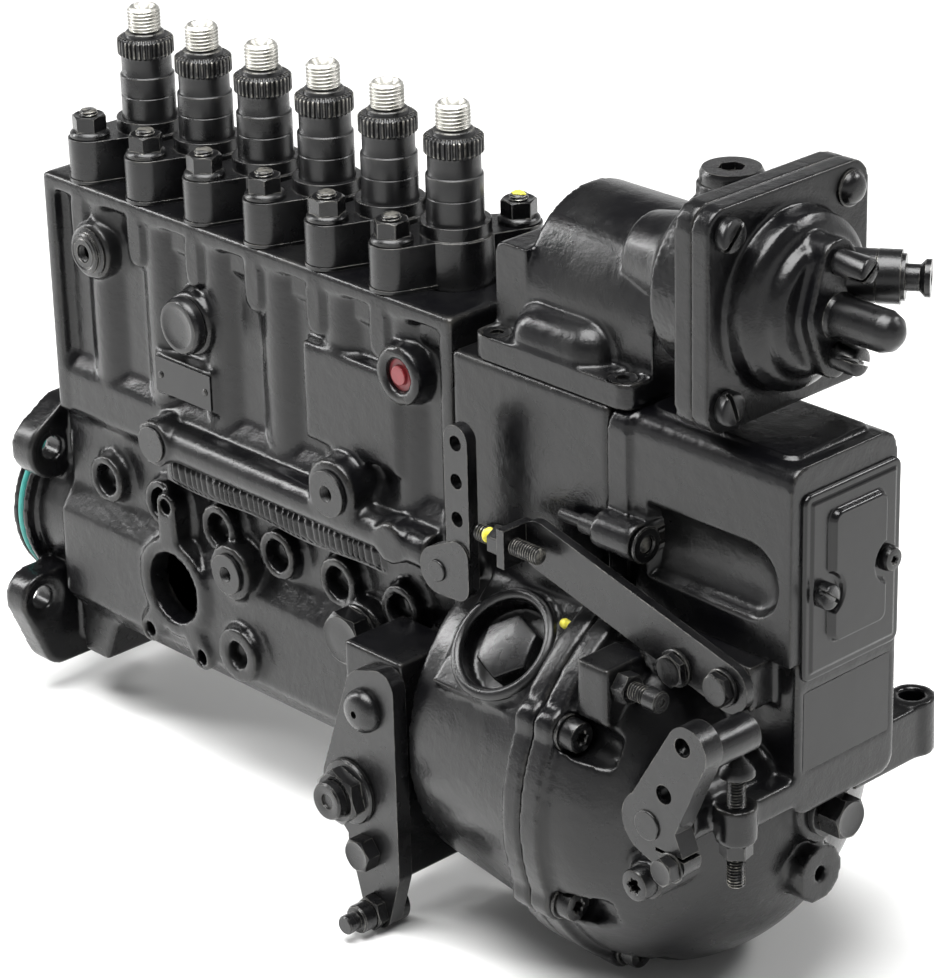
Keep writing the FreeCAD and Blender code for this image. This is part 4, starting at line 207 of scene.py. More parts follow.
# Bare steel, turned or plated: bright, with fine circular tool lines and faint tarnish.
def bareSteel(name, look):
    material, tree, place = newMaterial(name)
    stretch = addNode(tree, "ShaderNodeMapping", {"Scale": look["stretch"]},
                      {"Vector": place}).outputs[0]
    lines = clouds(tree, stretch, look["line"], 2.0)
    stain = clouds(tree, place, look["stain"], 4.0)
    colour = blend(tree, fade(tree, stain, (0.4, 0.0), (0.75, 1.0)),
                   linear(look["colour"]), linear(look["tarnish"]))
    rough = fade(tree, lines, (0.3, look["rough"][0]), (0.7, look["rough"][1]))
    bump = bumped(tree, lines, 0.12, 0.0002)
    shader = addNode(tree, "ShaderNodeBsdfPrincipled", {"Metallic": 1.0},
                     {"Base Color": colour, "Roughness": rough, "Normal": bump})
    addNode(tree, "ShaderNodeOutputMaterial", {}, {"Surface": shader.outputs[0]})
    return material


threadSteel = bareSteel("platedThread", dict(
    colour="#c4c3bd", tarnish="#9b9992", line=0.5, stain=6, stretch=(0.2, 0.2, 3.0),
    rough=(0.34, 0.5),
))
innerSteel = bareSteel("groundSteel", dict(
    colour="#9c9b97", tarnish="#7d7b76", line=0.4, stain=9, stretch=(4.0, 0.3, 0.3),
    rough=(0.2, 0.4),
))


# Nitrile and plastic mouldings: even colour with a slight bloom and soft sheen.
def moulded(name, look):
    material, tree, place = newMaterial(name)
    bloom = clouds(tree, place, look["bloom"], 3.0)
    skin = clouds(tree, place, look["skin"], 2.0)
    colour = blend(tree, bloom, linear(look["colour"]), linear(look["pale"]))
    bump = bumped(tree, skin, 0.15, 0.0002)
    shader = addNode(tree, "ShaderNodeBsdfPrincipled", {
        "Roughness": look["rough"], "Sheen Weight": 0.1,
    }, {"Base Color": colour, "Normal": bump})
    addNode(tree, "ShaderNodeOutputMaterial", {}, {"Surface": shader.outputs[0]})
    return material


sealRubber = moulded("tealNitrileRubber", dict(
    colour="#1f7f78", pale="#3a9a92", bloom=5, skin=0.4, rough=0.5))
darkRubber = moulded("blackNitrileRubber", dict(
    colour="#151515", pale="#202020", bloom=5, skin=0.4, rough=0.55))
capPlastic = moulded("redCapPlastic", dict(
    colour="#6a141b", pale="#8a1f27", bloom=4, skin=0.5, rough=0.35))
markPaint = moulded("yellowMarkPaint", dict(
    colour="#d9cf2a", pale="#e8e05a", bloom=2, skin=0.5, rough=0.45))
print("materials ready")


# Quads of a grid of rows by columns; the columns may close on themselves.
def gridQuads(rows, columns, closed=True):
    row = np.arange(rows - 1)[:, None]
    column = np.arange(columns if closed else columns - 1)[None, :]
    after = (column + 1) % columns
    corners = (row * columns + column, row * columns + after,
               (row + 1) * columns + after, (row + 1) * columns + column)
    return np.stack(np.broadcast_arrays(*corners), axis=-1).reshape(-1, 4)


# Rows are where a lathe's own x, y and height point to in the frame.
slant = math.sqrt(0.5)
axisFrames = {
    "X": np.array([[0, 1, 0], [0, 0, 1], [1, 0, 0]], float),
    "-X": np.array([[0, 0, 1], [0, 1, 0], [-1, 0, 0]], float),
    "-Y": np.array([[1, 0, 0], [0, 0, 1], [0, -1, 0]], float),
    "Z": np.eye(3),
    "slope": np.array([[1, 0, 0], [0, slant, slant], [0, -slant, slant]]),
    "hose": np.array([[-0.574, 0.819, 0], [0, 0, 1], [0.819, 0.574, 0]]),
}


# Angles of a ring's columns, without the one that would repeat the first.
def turnsOf(columns):
    return np.arange(columns) * 2 * np.pi / columns


# A round grid: point = centre + (r cos a, r sin a, h), turned so that h runs along the axis.
# radius and height hold one value for a ring, or one for each column of it.
def lathe(radius, height, centre, axis="Z", columns=48):
    radius, height = np.asarray(radius, float), np.asarray(height, float)
    if radius.ndim == 2:
        columns = radius.shape[1]
    angle = turnsOf(columns)
    rings, rises = (value if value.ndim == 2 else np.repeat(value[:, None], columns, 1)
                    for value in (radius, height))
    local = np.stack([rings * np.cos(angle), rings * np.sin(angle), rises], -1)
    places = local.reshape(-1, 3) @ axisFrames[axis] + np.asarray(centre, float)
    return places, gridQuads(len(rings), columns)


# Distance from the middle to the side of a regular polygon, at each angle.
def polygonRadius(angle, sides, across, turned=0.0):
    step = 2 * np.pi / sides
    return across / 2 / np.cos((angle + turned) % step - step / 2)


# Hexagon head: the sides end where a 30 degree cone cuts them, h = top - (r - flat) tan 30.
def hexHead(across, height, centre, axis, turned=0.0, dish=0.0, columns=96):
    side = polygonRadius(turnsOf(columns), 6, across, turned)
    flat, level = np.full(columns, across / 2 * 0.95), np.zeros(columns)
    drop = (side - flat) * math.tan(math.radians(30))
    radius = [level, side - 0.3, side, side, flat, flat - 0.5, flat * 0.6, level]
    rise = [level, level, level + 0.3, height - drop, level + height, level + height - 0.15,
            level + height - dish, level + height - dish]
    return lathe(np.stack(radius), np.stack(rise), centre, axis)


# Round head with a well sunk in it: a hexagon, or a star with r = mean + swing cos(6 a).
def socketHead(radius, height, well, centre, axis, star=False, dome=0.8, columns=96):
    angle = turnsOf(columns)
    one, level = np.ones(columns), np.zeros(columns)
    hole = well / 2 * (0.86 + 0.14 * np.cos(6 * angle)) if star else polygonRadius(angle, 6, well)
    rings = [
        (level, level), (one * (radius - 0.3), level), (one * radius, level + 0.3),
        (one * radius, level + height - dome), (one * (radius - dome * 0.35), level + height - 0.3),
        (one * (radius - dome), level + height), (hole + 0.5, level + height),
        (hole, level + height - 0.5), (hole * 0.97, level + height * 0.45),
        (level, level + height * 0.4),
    ]
    return lathe(np.stack([ring[0] for ring in rings]), np.stack([ring[1] for ring in rings]),
                 centre, axis)


# How far a thread is cut in, from 0 on its crest to 1 in its root: a triangle wave of
# h / pitch - a / 2 pi, stretched and clipped so that crest and root are flat.
def threadCut(height, pitch, columns):
    wave = np.abs(2 * ((height / pitch - turnsOf(columns)[None, :] / (2 * np.pi)) % 1) - 1)
    return np.clip(wave * 1.25 - 0.12, 0, 1)


# Threaded rod: r = R - depth * cut(h, a), under a 45 degree cone at each end.
def threadedRod(radius, length, pitch, centre, axis, columns=48, perTurn=10):
    depth = 0.6 * pitch
    height = np.linspace(0, length, int(length / pitch * perTurn))[:, None]
    body = radius - depth * threadCut(height, pitch, columns)
    cone = radius - depth + np.minimum(height, length - height)
    body = np.minimum(body, cone)
    rings = np.concatenate([body[:1] * 0, body, body[-1:] * 0])
    rises = np.repeat(np.concatenate([height[:1], height, height[-1:]]), columns, 1)
    return lathe(rings, rises, centre, axis)


# Flat ring with its outer edges taken off by 0.3.
def washer(outer, inner, height, centre, axis):
    return lathe([inner, outer - 0.3, outer, outer, outer - 0.3, inner],
                 [0, 0, 0.3, height - 0.3, height, height], centre, axis)


# Plain block between two corners.
def boxSurface(low, high):
    pick = np.array([[x, y, z] for x in (0, 1) for y in (0, 1) for z in (0, 1)])
    places = np.where(pick == 1, np.asarray(high, float), np.asarray(low, float))
    faces = np.array([[0, 1, 3, 2], [4, 6, 7, 5], [0, 4, 5, 1], [2, 3, 7, 6], [0, 2, 6, 4],
                      [1, 5, 7, 3]])
    return places, faces


# Several surfaces as one mesh, with doubled points welded and all faces turned outward.
def meshOf(name, surfaces):
    points, quads, start = [], [], 0
    for places, faces in surfaces:
        points.append(places)
        quads.append(faces + start)
        start += len(places)
    mesh = bpy.data.meshes.new(name)
    mesh.from_pydata((np.concatenate(points) / 1000).tolist(), [], np.concatenate(quads).tolist())
    shape = bmesh.new()
    shape.from_mesh(mesh)
    bmesh.ops.remove_doubles(shape, verts=shape.verts, dist=1e-6)
    bmesh.ops.recalc_face_normals(shape, faces=shape.faces)
    shape.to_mesh(mesh)
    shape.free()
    return mesh


# Puts a finished mesh in the scene; smooth is the angle over which an edge stays sharp.
def placePiece(name, mesh, material, replaced=(), smooth=35, body="pump_body",
               slot="black_steel"):
    mesh.polygons.foreach_set("use_smooth", np.ones(len(mesh.polygons), bool))
    if smooth:
        mesh.set_sharp_from_angle(angle=math.radians(smooth))
    mesh.materials.clear()
    mesh.materials.append(material)
    mesh.name = name
    piece = bpy.data.objects.new(name, mesh)
    scene.collection.objects.link(piece)
    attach(piece, body)
    if replaced:
        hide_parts(*replaced)


# A new piece of one or more surfaces.
def makePiece(name, surfaces, material, replaced=(), smooth=35, **where):
    placePiece(name, meshOf(name, surfaces), material, replaced, smooth, **where)


# A CAD node's shape as one merged mesh that modifiers can work on.
def mergedCopy(node, flatten=False):
    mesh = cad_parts[node].data.copy()
    mesh.materials.clear()
    shape = bmesh.new()
    shape.from_mesh(mesh)
    bmesh.ops.remove_doubles(shape, verts=shape.verts, dist=2e-6)
    if flatten:
        bmesh.ops.dissolve_limit(shape, angle_limit=math.radians(1), verts=shape.verts,
                                 edges=shape.edges)
    shape.to_mesh(mesh)
    shape.free()
    mesh.polygons.foreach_set("use_smooth", np.ones(len(mesh.polygons), bool))
    return mesh


# Rounded edges, with normals weighted so that flats stay flat up to the rounding.
def roundedEdges(edge, segments=3, angle=38):
    return [
        ("BEVEL", dict(width=edge / 1000, segments=segments, limit_method="ANGLE",
                       angle_limit=math.radians(angle))),
        ("WEIGHTED_NORMAL", dict(mode="FACE_AREA", weight=60, keep_sharp=False)),
    ]


# Runs modifiers on a mesh, each given as a type and its settings, and returns the result.
def modified(mesh, steps, groups=None):
    carrier = bpy.data.objects.new("carrier", mesh)
    scene.collection.objects.link(carrier)
    for name, chosen in (groups or {}).items():
        group = carrier.vertex_groups.new(name=name)
        group.add(np.nonzero(chosen)[0].tolist(), 1.0, "REPLACE")
    for index, (kind, settings) in enumerate(steps):
        modifier = carrier.modifiers.new(f"{kind}{index}", kind)
        for key, value in settings.items():
            setattr(modifier, key, value)
    view = bpy.context.evaluated_depsgraph_get()
    view.update()
    done = bpy.data.meshes.new_from_object(carrier.evaluated_get(view))
    bpy.data.objects.remove(carrier)
    return done


# The places or the normals of a mesh's points, one row each.
def readVectors(mesh, what):
    values = np.empty(len(mesh.vertices) * 3)
    mesh.vertices.foreach_get(what, values)
    return values.reshape(-1, 3)


# True where a point, in metres, lies in one of the boxes, given in millimetres.
def within(points, boxes):
    found = np.zeros(len(points), bool)
    for low, high in boxes:
        found |= np.all((points * 1000 > low) & (points * 1000 < high), axis=1)
    return found


# Smooth step from 0 to 1: 3 s^2 - 2 s^3.
def ease(share):
    share = np.clip(share, 0, 1)
    return share * share * (3 - 2 * share)


# How far a point lies outside a rounded rectangle, negative inside it.
def outsideBlock(places, middle, half, corner):
    past = np.abs(places - np.asarray(middle)) - np.asarray(half) + corner
    return np.linalg.norm(np.maximum(past, 0), axis=1) + np.minimum(past.max(axis=1), 0) - corner


# Adds a pad to a cast skin: within a rounded block seen along one axis, the skin is brought up
# to level + height * ease(depth inside the block / soft), unless it already stands higher.
def stampSkin(points, normals, look):
    axis, sign = look["face"]
    flat = [index for index in range(3) if index != axis]
    outside = outsideBlock(points[:, flat] * 1000, look["middle"], look["half"], look["corner"])
    pad = (look["level"] + ease(-outside / look["soft"]) * look["height"]) / 1000
    facing = (outside < 0) & (normals[:, axis] * sign > -0.2) & within(points, [look["box"]])
    raised = sign * np.maximum(points[:, axis] * sign, pad)
    points[:, axis] = np.where(facing, raised, points[:, axis])


# Height of a rough cast skin: a mean of waves that run in unlike directions.
def waves(points, size):
    turns = np.array([(1.0, 0.35, 0.2), (-0.3, 1.1, 0.45), (0.25, -0.4, 1.2),
                      (0.9, -0.8, 0.6), (-0.7, 0.5, 1.4), (1.5, 0.6, -0.9)])
    phase = (points * 1000) @ turns.T * (2 * np.pi / size) + np.arange(len(turns))
    return np.sin(phase).mean(axis=1)


# Driving places of the pump that several pieces share.
elements = dict(first=56, pitch=38, count=6)
elementX = [elements["first"] + elements["pitch"] * index for index in range(elements["count"])]
studOffset = (10, 25)       # of a bushing's studs from its element, along and across
boostZ = 208                # axis of the boost compensator
faceFront = (1, -1)         # of a stamp that looks along -Y
faceUp = (2, 1)             # of a stamp that looks up

# The scooped groove along the spring box: y = wall + depth sqrt(1 - (d / radius)^2), where d
# is the distance from a line that ends short of the far wall.
scoopGroove = dict(wall=-32.0, depth=8.0, radius=15.5, z=109.5, end=431, start=340,
                   box=((381, -34, 88), (450, -19.6, 130)))


def scoopSkin(points, look):
    inside = within(points, [look["box"]])
    x, z = points[:, 0] * 1000, points[:, 2] * 1000
    away = np.hypot(x - np.clip(x, look["start"], look["end"]), z - look["z"]) / look["radius"]
    sunk = look["depth"] * np.sqrt(np.clip(1 - away ** 2, 0, 1)) * ease((1.02 - away) * 6)
    points[inside, 1] = (look["wall"] + sunk[inside]) / 1000


# Castings: the CAD shape taken over as a fine even skin and relaxed, which gives every
# corner the radius of a sand casting. Walls in the hidden boxes are thinned out, down to the
# share keep of their faces. A rough zone is a box, the swing of its waves and their size.
castings = {
    "pump_housing": dict(
        piece="pumpHousingCasting", voxel=1.55, relax=4, keep=0.12,
        hidden=[((24, -29, -31), (276, 29, 60)), ((24, -19, 30), (276, 19, 168)),
                ((30, -33, 64), (276, -18, 80))],
        rough=[((44, -43, -44), (262, -30, 56), 0.22, 2.6),
               ((100, -48, 58), (270, -36, 64), 0.5, 2.4)],
        stamps=[
            dict(face=faceFront, middle=(x - studOffset[0], 158), half=(9.4, 20), corner=9.3,
                 soft=5.5, level=28.0, height=6.6, box=((30, -34.8, 136), (280, -26, 166)))
            for x in elementX
        ] + [
            dict(face=faceFront, middle=(172, 163), half=(98, 11), corner=2, soft=1.6,
                 level=28.5, height=1.7, box=((60, -33, 148), (272, -24, 166))),
        ],
    ),
    "drive_end_cover": dict(
        piece="driveEndCoverCasting", voxel=1.2, relax=4, keep=0.25,
        hidden=[((-7, -29, -29), (60, 29, 29))],
    ),
    "governor_housing": dict(
        piece="governorHousingCasting", voxel=1.45, relax=4, keep=0.2,
        hidden=[((283, -68, -68), (380, 68, 66))],
        rough=[((286, -33, 80), (300, -20, 120), 0.3, 3.0)],
    ),
    "governor_cover": dict(
        piece="governorCoverCasting", voxel=1.25, relax=4, keep=0.2,
        hidden=[((350, -61, -61), (408, 61, 61))],
    ),
    "spring_box": dict(
        piece="springBoxCasting", voxel=1.0, relax=4, keep=0.2,
        hidden=[((355, -22, 84), (448, 22, 154))], scoop=scoopGroove,
        stamps=[
            dict(face=faceUp, middle=(410, -3), half=(37, 22), corner=6, soft=1.3, level=158,
                 height=1.5, box=((366, -34, 156), (450, 30, 162))),
        ],
    ),
    "compensator_housing": dict(
        piece="compensatorHousingCasting", voxel=1.0, relax=4, keep=0.2,
        hidden=[((300, -9, 150), (392, 9, 214)), ((388, -33.5, 174), (420, 33.5, 242))],
        rough=[((376, -40, 176), (404, 0, 250), 0.22, 3.0)],
    ),
    "compensator_cover": dict(
        piece="compensatorCoverCasting", voxel=0.95, relax=3, keep=0.5,
        hidden=[((405, -31, 177), (424, 31, 239))],
    ),
    "spacer_block": dict(piece="spacerBlockMilled", voxel=1.1, relax=3),
}

for node, cast in castings.items():
    skin = modified(mergedCopy(node), [
        ("REMESH", dict(mode="VOXEL", voxel_size=cast["voxel"] / 1000)),
        ("SMOOTH", dict(factor=0.5, iterations=cast["relax"])),
    ])
    points, normals = readVectors(skin, "co"), readVectors(skin, "normal")
    for look in cast.get("stamps", ()):
        stampSkin(points, normals, look)
    if "scoop" in cast:
        scoopSkin(points, cast["scoop"])
    for low, high, swing, size in cast.get("rough", ()):
        area = within(points, [(low, high)])
        points[area] += normals[area] * (waves(points[area], size) * swing / 1000)[:, None]
    skin.vertices.foreach_set("co", points.ravel())
    inside = within(points, cast.get("hidden", ()))
    if inside.any():
        ratio = 1 - inside.mean() * (1 - cast["keep"])
        skin = modified(skin, [("DECIMATE", dict(ratio=ratio, vertex_group="inside"))],
                        {"inside": inside})
    placePiece(cast["piece"], skin, castEnamel, (node,), 0, slot="black_casting")
    print(cast["piece"], len(skin.polygons), "faces")


# Boxes round the heads that are made anew further down, along X and along Y.
def aroundX(low, high, places, reach):
    return [((low, y - reach, z - reach), (high, y + reach, z + reach)) for y, z in places]


def aroundY(low, high, places, reach):
    return [((x - reach, low, z - reach), (x + reach, high, z + reach)) for x, z in places]


# Where the heads seat, along the axis that they face, and their places across it: y and z
# of the ones that face along X, x and z of the others.
seatAt = dict(cover=372, square=421, nose=445, plate=454.5, drain=440, bar=-46, side=-69)
coverCircle = dict(radius=77.5, turns=(30, 150, 205, 243, 297, 335))
coverBolts = [(coverCircle["radius"] * math.cos(math.radians(turn)),
               coverCircle["radius"] * math.sin(math.radians(turn)))
              for turn in coverCircle["turns"]]
squareScrews = [(side, boostZ + rise) for side in (-33, 33) for rise in (-33, 33)]
noseScrews = [(0, boostZ + 19.6), (0, boostZ - 16)]
plateScrews = [(-17, 106), (18, 109)]
drainPlug = (3, 4)
barScrew = (-52, 97)
limitScrew = (-58, 62)
barBolts = [(409, 71), (432, 71)]
sideScrew = (414, -8)
bracket = dict(face=-77, button=(268, 14), nut=(258, -26), bolt=(267, -50), pin=(271, -76))
wallPlugs = dict(face=-38, stepped=(57, 143), cap=(121, 127))
padPlug = dict(face=-39.5, place=(224, 20))

# Pressed, forged and turned pieces: the CAD shape with its flats joined and edges rounded,
# less the points in the boxes under gone.
hardware = {
    "stop_bracket": dict(piece="stopBracketPressing", edge=0.5),
    "support_bracket": dict(piece="supportBracketPlate", edge=0.8),
    "throttle_lever": dict(piece="throttleLeverForged", edge=1.1, body="throttle"),
    "throttle_shaft": dict(piece="throttleShaftTurned", edge=0.6, body="throttle"),
    "shutoff_lever": dict(piece="shutoffLeverPressing", edge=0.7, body="shutoff"),
    "shutoff_shaft": dict(piece="shutoffShaftTurned", edge=0.5, body="shutoff"),
    "bushing_shims": dict(piece="bushingShimsPressing", edge=0.15),
    "housing_plugs": dict(
        piece="housingPlugsTurned", edge=0.4,
        gone=aroundY(-60, wallPlugs["face"] - 0.05, [wallPlugs["stepped"], wallPlugs["cap"]], 14.2)
        + aroundY(-60, padPlug["face"] - 0.1, [padPlug["place"]], 14.2)),
    "compensator_fittings": dict(
        piece="compensatorFittingsTurned", edge=0.5,
        gone=aroundX(seatAt["square"] - 0.1, 425.7, squareScrews, 6.8)
        + aroundX(seatAt["nose"] + 0.1, 461, noseScrews, 5.6)),
    "outer_fasteners": dict(
        piece="fastenerShanks", edge=0.3,
        gone=aroundX(seatAt["cover"] - 0.1, 380.2, coverBolts, 7.8)
        + aroundX(seatAt["plate"] - 0.1, 459.7, plateScrews, 5.3)
        + aroundX(seatAt["drain"] - 0.1, 453.2, [drainPlug], 10.8)
        + aroundX(309.8, 344.3, [barScrew], 6.6)
        + aroundY(-51, seatAt["bar"] + 0.1, barBolts, 7.8)
        + aroundY(-83.2, bracket["face"] + 0.1, [bracket["button"]], 9.3)
        + aroundY(-91.2, bracket["face"] + 0.1, [bracket["nut"]], 14.6)
        + aroundY(-84.2, bracket["face"] + 0.1, [bracket["bolt"]], 8.2)
        + aroundY(-95.2, bracket["face"] + 0.1, [bracket["pin"]], 8.2)
        + aroundY(-75.2, seatAt["side"] + 0.1, [sideScrew], 6.8)),
}
for number in range(1, elements["count"] + 1):
    hardware[f"flange_bushing_{number}"] = dict(piece=f"flangeBushingForging{number}", edge=0.9)

for node, look in hardware.items():
    mesh = mergedCopy(node, flatten=True)
    steps, groups = [], {}
    if "gone" in look:
        groups["gone"] = within(readVectors(mesh, "co"), look["gone"])
        steps.append(("MASK", dict(vertex_group="gone", invert_vertex_group=True)))
    mesh = modified(mesh, steps + roundedEdges(look["edge"]), groups)
    placePiece(look["piece"], mesh, steelEnamel, (node,), 0, look.get("body", "pump_body"))
print("hardware rounded")

# Strip of chill ripples left on the wall under the gallery: each ripple stands out by
# depth * |sin(pi x / pitch)| ^ power, and the strip's rim sinks into the wall.
ripples = dict(left=100, right=242, low=49.5, high=62.5, wall=38.0, depth=2.1, pitch=3.7,
               power=0.6, sink=0.9, end=8, rim=0.32, columns=560, rows=26)


def rippleStrip(look):
    x = np.linspace(look["left"], look["right"], look["columns"])[None, :]
    share = np.linspace(0, 1, look["rows"])[:, None]
    lean = x + 2.2 * share + 0.7 * np.sin(x * 0.31)
    wave = np.abs(np.sin(np.pi * lean / look["pitch"])) ** look["power"]
    patchy = 0.72 + 0.28 * np.sin(x * 0.13 + 1.1) * np.cos(x * 0.047)
    ends = ease((x - look["left"]) / look["end"]) * ease((look["right"] - x) / look["end"])
    rim = ease(np.minimum(share, 1 - share) / look["rim"])
    height = look["depth"] * wave * patchy + look["sink"]
    out = look["wall"] - look["sink"] + height * ends * rim
    z = look["low"] + share * (look["high"] - look["low"]) + 0.8 * np.sin(x * 0.09)
    points = np.stack(np.broadcast_arrays(x, -out, z), -1).reshape(-1, 3)
    return points, gridQuads(look["rows"], look["columns"], False)


makePiece("chillRipples", [rippleStrip(ripples)], castEnamel, smooth=0, slot="black_casting")

# Blank plates and the port cap keep their CAD outline with a rolled edge.
mesh = modified(mergedCopy("blank_plates", flatten=True), roundedEdges(0.2, 2))
placePiece("blankPlatesPressing", mesh, plateEnamel, ("blank_plates",), 0, slot="blank_plate")
mesh = modified(mergedCopy("port_cap", flatten=True), roundedEdges(0.5))
placePiece("portCapMoulding", mesh, capPlastic, ("port_cap",), 0, slot="red_plastic")

# Access plate: a pressing whose height over its seat is thick - rim - edge * (1 - rolled edge)
# + rim * ease(depth inside - rimIn) + panel * ease(depth inside the panel / soft).
accessPlate = dict(seat=452, thick=2.5, half=(26.5, 37.5), middle=(0, 109.5), corner=4, edge=1.0,
                   rim=0.7, rimIn=3.0, panel=2.6, panelMiddle=(1.0, 111.5), panelHalf=(15.5, 27),
                   panelCorner=5, soft=1.6, notches=plateScrews, notch=7.8, step=0.5)


def accessPlateSurface(look):
    columns, rows = (int(2 * half / look["step"]) for half in look["half"])
    across = np.concatenate([[-1], np.linspace(-1, 1, columns), [1]])
    upright = np.concatenate([[-1], np.linspace(-1, 1, rows), [1]])
    y, z = np.meshgrid(across * look["half"][0], upright * look["half"][1])
    flat = np.stack([y.ravel(), z.ravel()], -1)
    core = np.asarray(look["half"]) - look["corner"]
    over = np.sign(flat) * np.maximum(np.abs(flat) - core, 0)
    length = np.maximum(np.linalg.norm(over, axis=1), 1e-9)
    flat += over * (np.minimum(1, look["corner"] / length) - 1)[:, None]
    places = flat + look["middle"]
    inside = -outsideBlock(places, look["middle"], look["half"], look["corner"])
    rolled = np.sqrt(np.clip(1 - (1 - np.clip(inside / look["edge"], 0, 1)) ** 2, 0, 1))
    depth = -outsideBlock(places, look["panelMiddle"], look["panelHalf"], look["panelCorner"])
    for notch in look["notches"]:
        depth = np.minimum(depth, np.hypot(*(places - notch).T) - look["notch"])
    height = look["thick"] - look["rim"] - look["edge"] * (1 - rolled)
    height += look["rim"] * ease(inside - look["rimIn"])
    height += look["panel"] * ease(depth / look["soft"])
    height = height.reshape(y.shape)
    height[[0, -1]] = 0
    height[:, [0, -1]] = 0
    points = np.concatenate([look["seat"] + height.reshape(-1, 1), places], axis=1)
    return points, gridQuads(len(upright), len(across), False)


makePiece("accessPlatePressing", [accessPlateSurface(accessPlate)], plateEnamel,
          ("access_plate",), 60)
print("plates pressed")

# Valve holders: plated M14 thread over a black ring, a fluted collar and a turned body.
valveHolder = dict(
    bottom=160, body=11.6, bodyRings=(175, 189, 194.9, 195.6, 200), groove=204.9,
    grooveDepth=0.25, shoulder=214, neck=10.7,
    collar=12, collarLow=222, collarTop=230.2, flutes=34, flute=0.95, rolled=0.14, chamfer=0.11,
    ring=8.3, ringTop=232.2, bore=2.2, cone=5,
    threadRadius=7, threadFrom=232.3, top=243, pitch=1.5, threadDepth=0.8, lead=1.35,
    columns=272, rowsPerTurn=14,
)


# The black part, from the bottom up: plain body with its groove, then the collar, where
# r = R - flute * clip(0.5 - 1.1 cos(n a)), and the ring under the thread.
def valveHolderBlack(look, x):
    angle, one = turnsOf(look["columns"]), np.ones(look["columns"])
    gap = np.clip(0.5 - 1.1 * np.cos(look["flutes"] * angle), 0, 1) * look["flute"]
    bottom, body, neck, shoulder = (look[key] for key in ("bottom", "body", "neck", "shoulder"))
    groove, sunk = look["groove"], body - look["grooveDepth"]
    plain = [
        (look["bore"], bottom), (body - 0.5, bottom), (body, bottom + 0.5),
        *((body, height) for height in look["bodyRings"]),
        (body, groove - 0.3), (sunk, groove), (sunk, groove + 0.4), (body, groove + 0.7),
        (body, shoulder - 0.8), (body - 0.1, shoulder - 0.3), (body - 0.4, shoulder),
        (neck + 0.2, shoulder + 0.2), (neck, shoulder + 0.7), (neck, shoulder + 4),
        (neck, shoulder + 7),
    ]
    rings = [one * radius for radius, _ in plain]
    rises = [one * height for _, height in plain]
    low, high, rolled = look["collarLow"], look["collarTop"], look["rolled"]
    for share in np.concatenate([np.linspace(0, rolled, 4), np.linspace(0.2, 1 - rolled, 8),
                                 np.linspace(0.9, 1, 4)]):
        foot = ease(share / rolled)
        crown = 1 - look["chamfer"] * ease((share - 1 + rolled) / rolled)
        outer = neck + (look["collar"] * crown - neck) * foot
        rings.append(outer - gap * foot)
        rises.append(one * (low + share * (high - low)))
    ring, ringTop = look["ring"], look["ringTop"]
    for radius, height in ((9.6, high + 0.1), (8.9, high - 0.1), (8.5, high), (ring, high + 0.4),
                           (ring, ringTop - 0.4), (ring - 0.4, ringTop),
                           (look["threadRadius"] - look["threadDepth"], look["threadFrom"])):
        rings.append(one * radius)
        rises.append(one * height)
    return lathe(np.stack(rings), np.stack(rises), (x, 0, 0))


# The plated part: r = R - depth * cut(h, a) under a lead-in at both ends, the cone for the
# pipe's nipple and the bore.
def valveHolderBright(look, x):
    columns, top, radius = look["columns"], look["top"], look["threadRadius"]
    length = top - look["threadFrom"]
    rows = int(length / look["pitch"] * look["rowsPerTurn"])
    height = np.linspace(0, length, rows)[:, None]
    body = radius - look["threadDepth"] * threadCut(height, look["pitch"], columns)
    body = np.minimum(body, radius - look["lead"] + (length - height))
    body = np.minimum(body, radius - look["threadDepth"] + height * 0.8)
    rises = np.repeat(height + look["threadFrom"], columns, 1)
    cone, bore = look["cone"], look["bore"]
    inner = [(5.5, top), (cone + 0.15, top), (cone, top - 0.15), (bore + 0.1, top - 4),
             (bore, top - 4.4), (bore, look["bottom"] + 1)]
    rings = np.concatenate([body, np.stack([np.full(columns, wide) for wide, _ in inner])])
    rises = np.concatenate([rises, np.stack([np.full(columns, high) for _, high in inner])])
    return lathe(rings, rises, (x, 0, 0))


for index, x in enumerate(elementX):
    number = index + 1
    makePiece(f"valveHolder{number}", [valveHolderBlack(valveHolder, x)], holderEnamel,
              (f"delivery_valve_holder_{number}",), 32)
    makePiece(f"outletThread{number}", [valveHolderBright(valveHolder, x)], threadSteel,
              smooth=50, slot="bare_steel")
print("valve holders turned")

# Flanged nuts and stud ends on the bushings; each nut stands at its own angle.
studNut = dict(across=13, height=7.6, bore=4.2, flange=8.6, seat=189.5, stud=4, studLow=150,
               studTop=201, pitch=1.25)
nuts, studs = [], []
for index, x in enumerate(elementX):
    for side in (-1, 1):
        place = (x + side * studOffset[0], side * studOffset[1])
        seat, bore, flange = studNut["seat"], studNut["bore"], studNut["flange"]
        nuts.append(lathe([bore, flange - 0.4, flange, flange, flange - 0.4, 7.2, 6.4, bore],
                          [0, 0, 0.4, 1.5, 2.2, 2.9, 3.1, 3.1], (*place, seat)))
        nuts.append(hexHead(studNut["across"], studNut["height"], (*place, seat + 2), "Z",
                            turned=0.7 + 0.45 * index + 0.3 * side, dish=0.5))
        studs.append(threadedRod(studNut["stud"], studNut["studTop"] - studNut["studLow"],
                                 studNut["pitch"], (*place, studNut["studLow"]), "Z", 30, 5))
makePiece("flangeNuts", nuts, steelEnamel, ("bushing_nuts",), 28)
makePiece("flangeStuds", studs, holderEnamel, ("bushing_studs",), 50)
print("nuts and studs made")


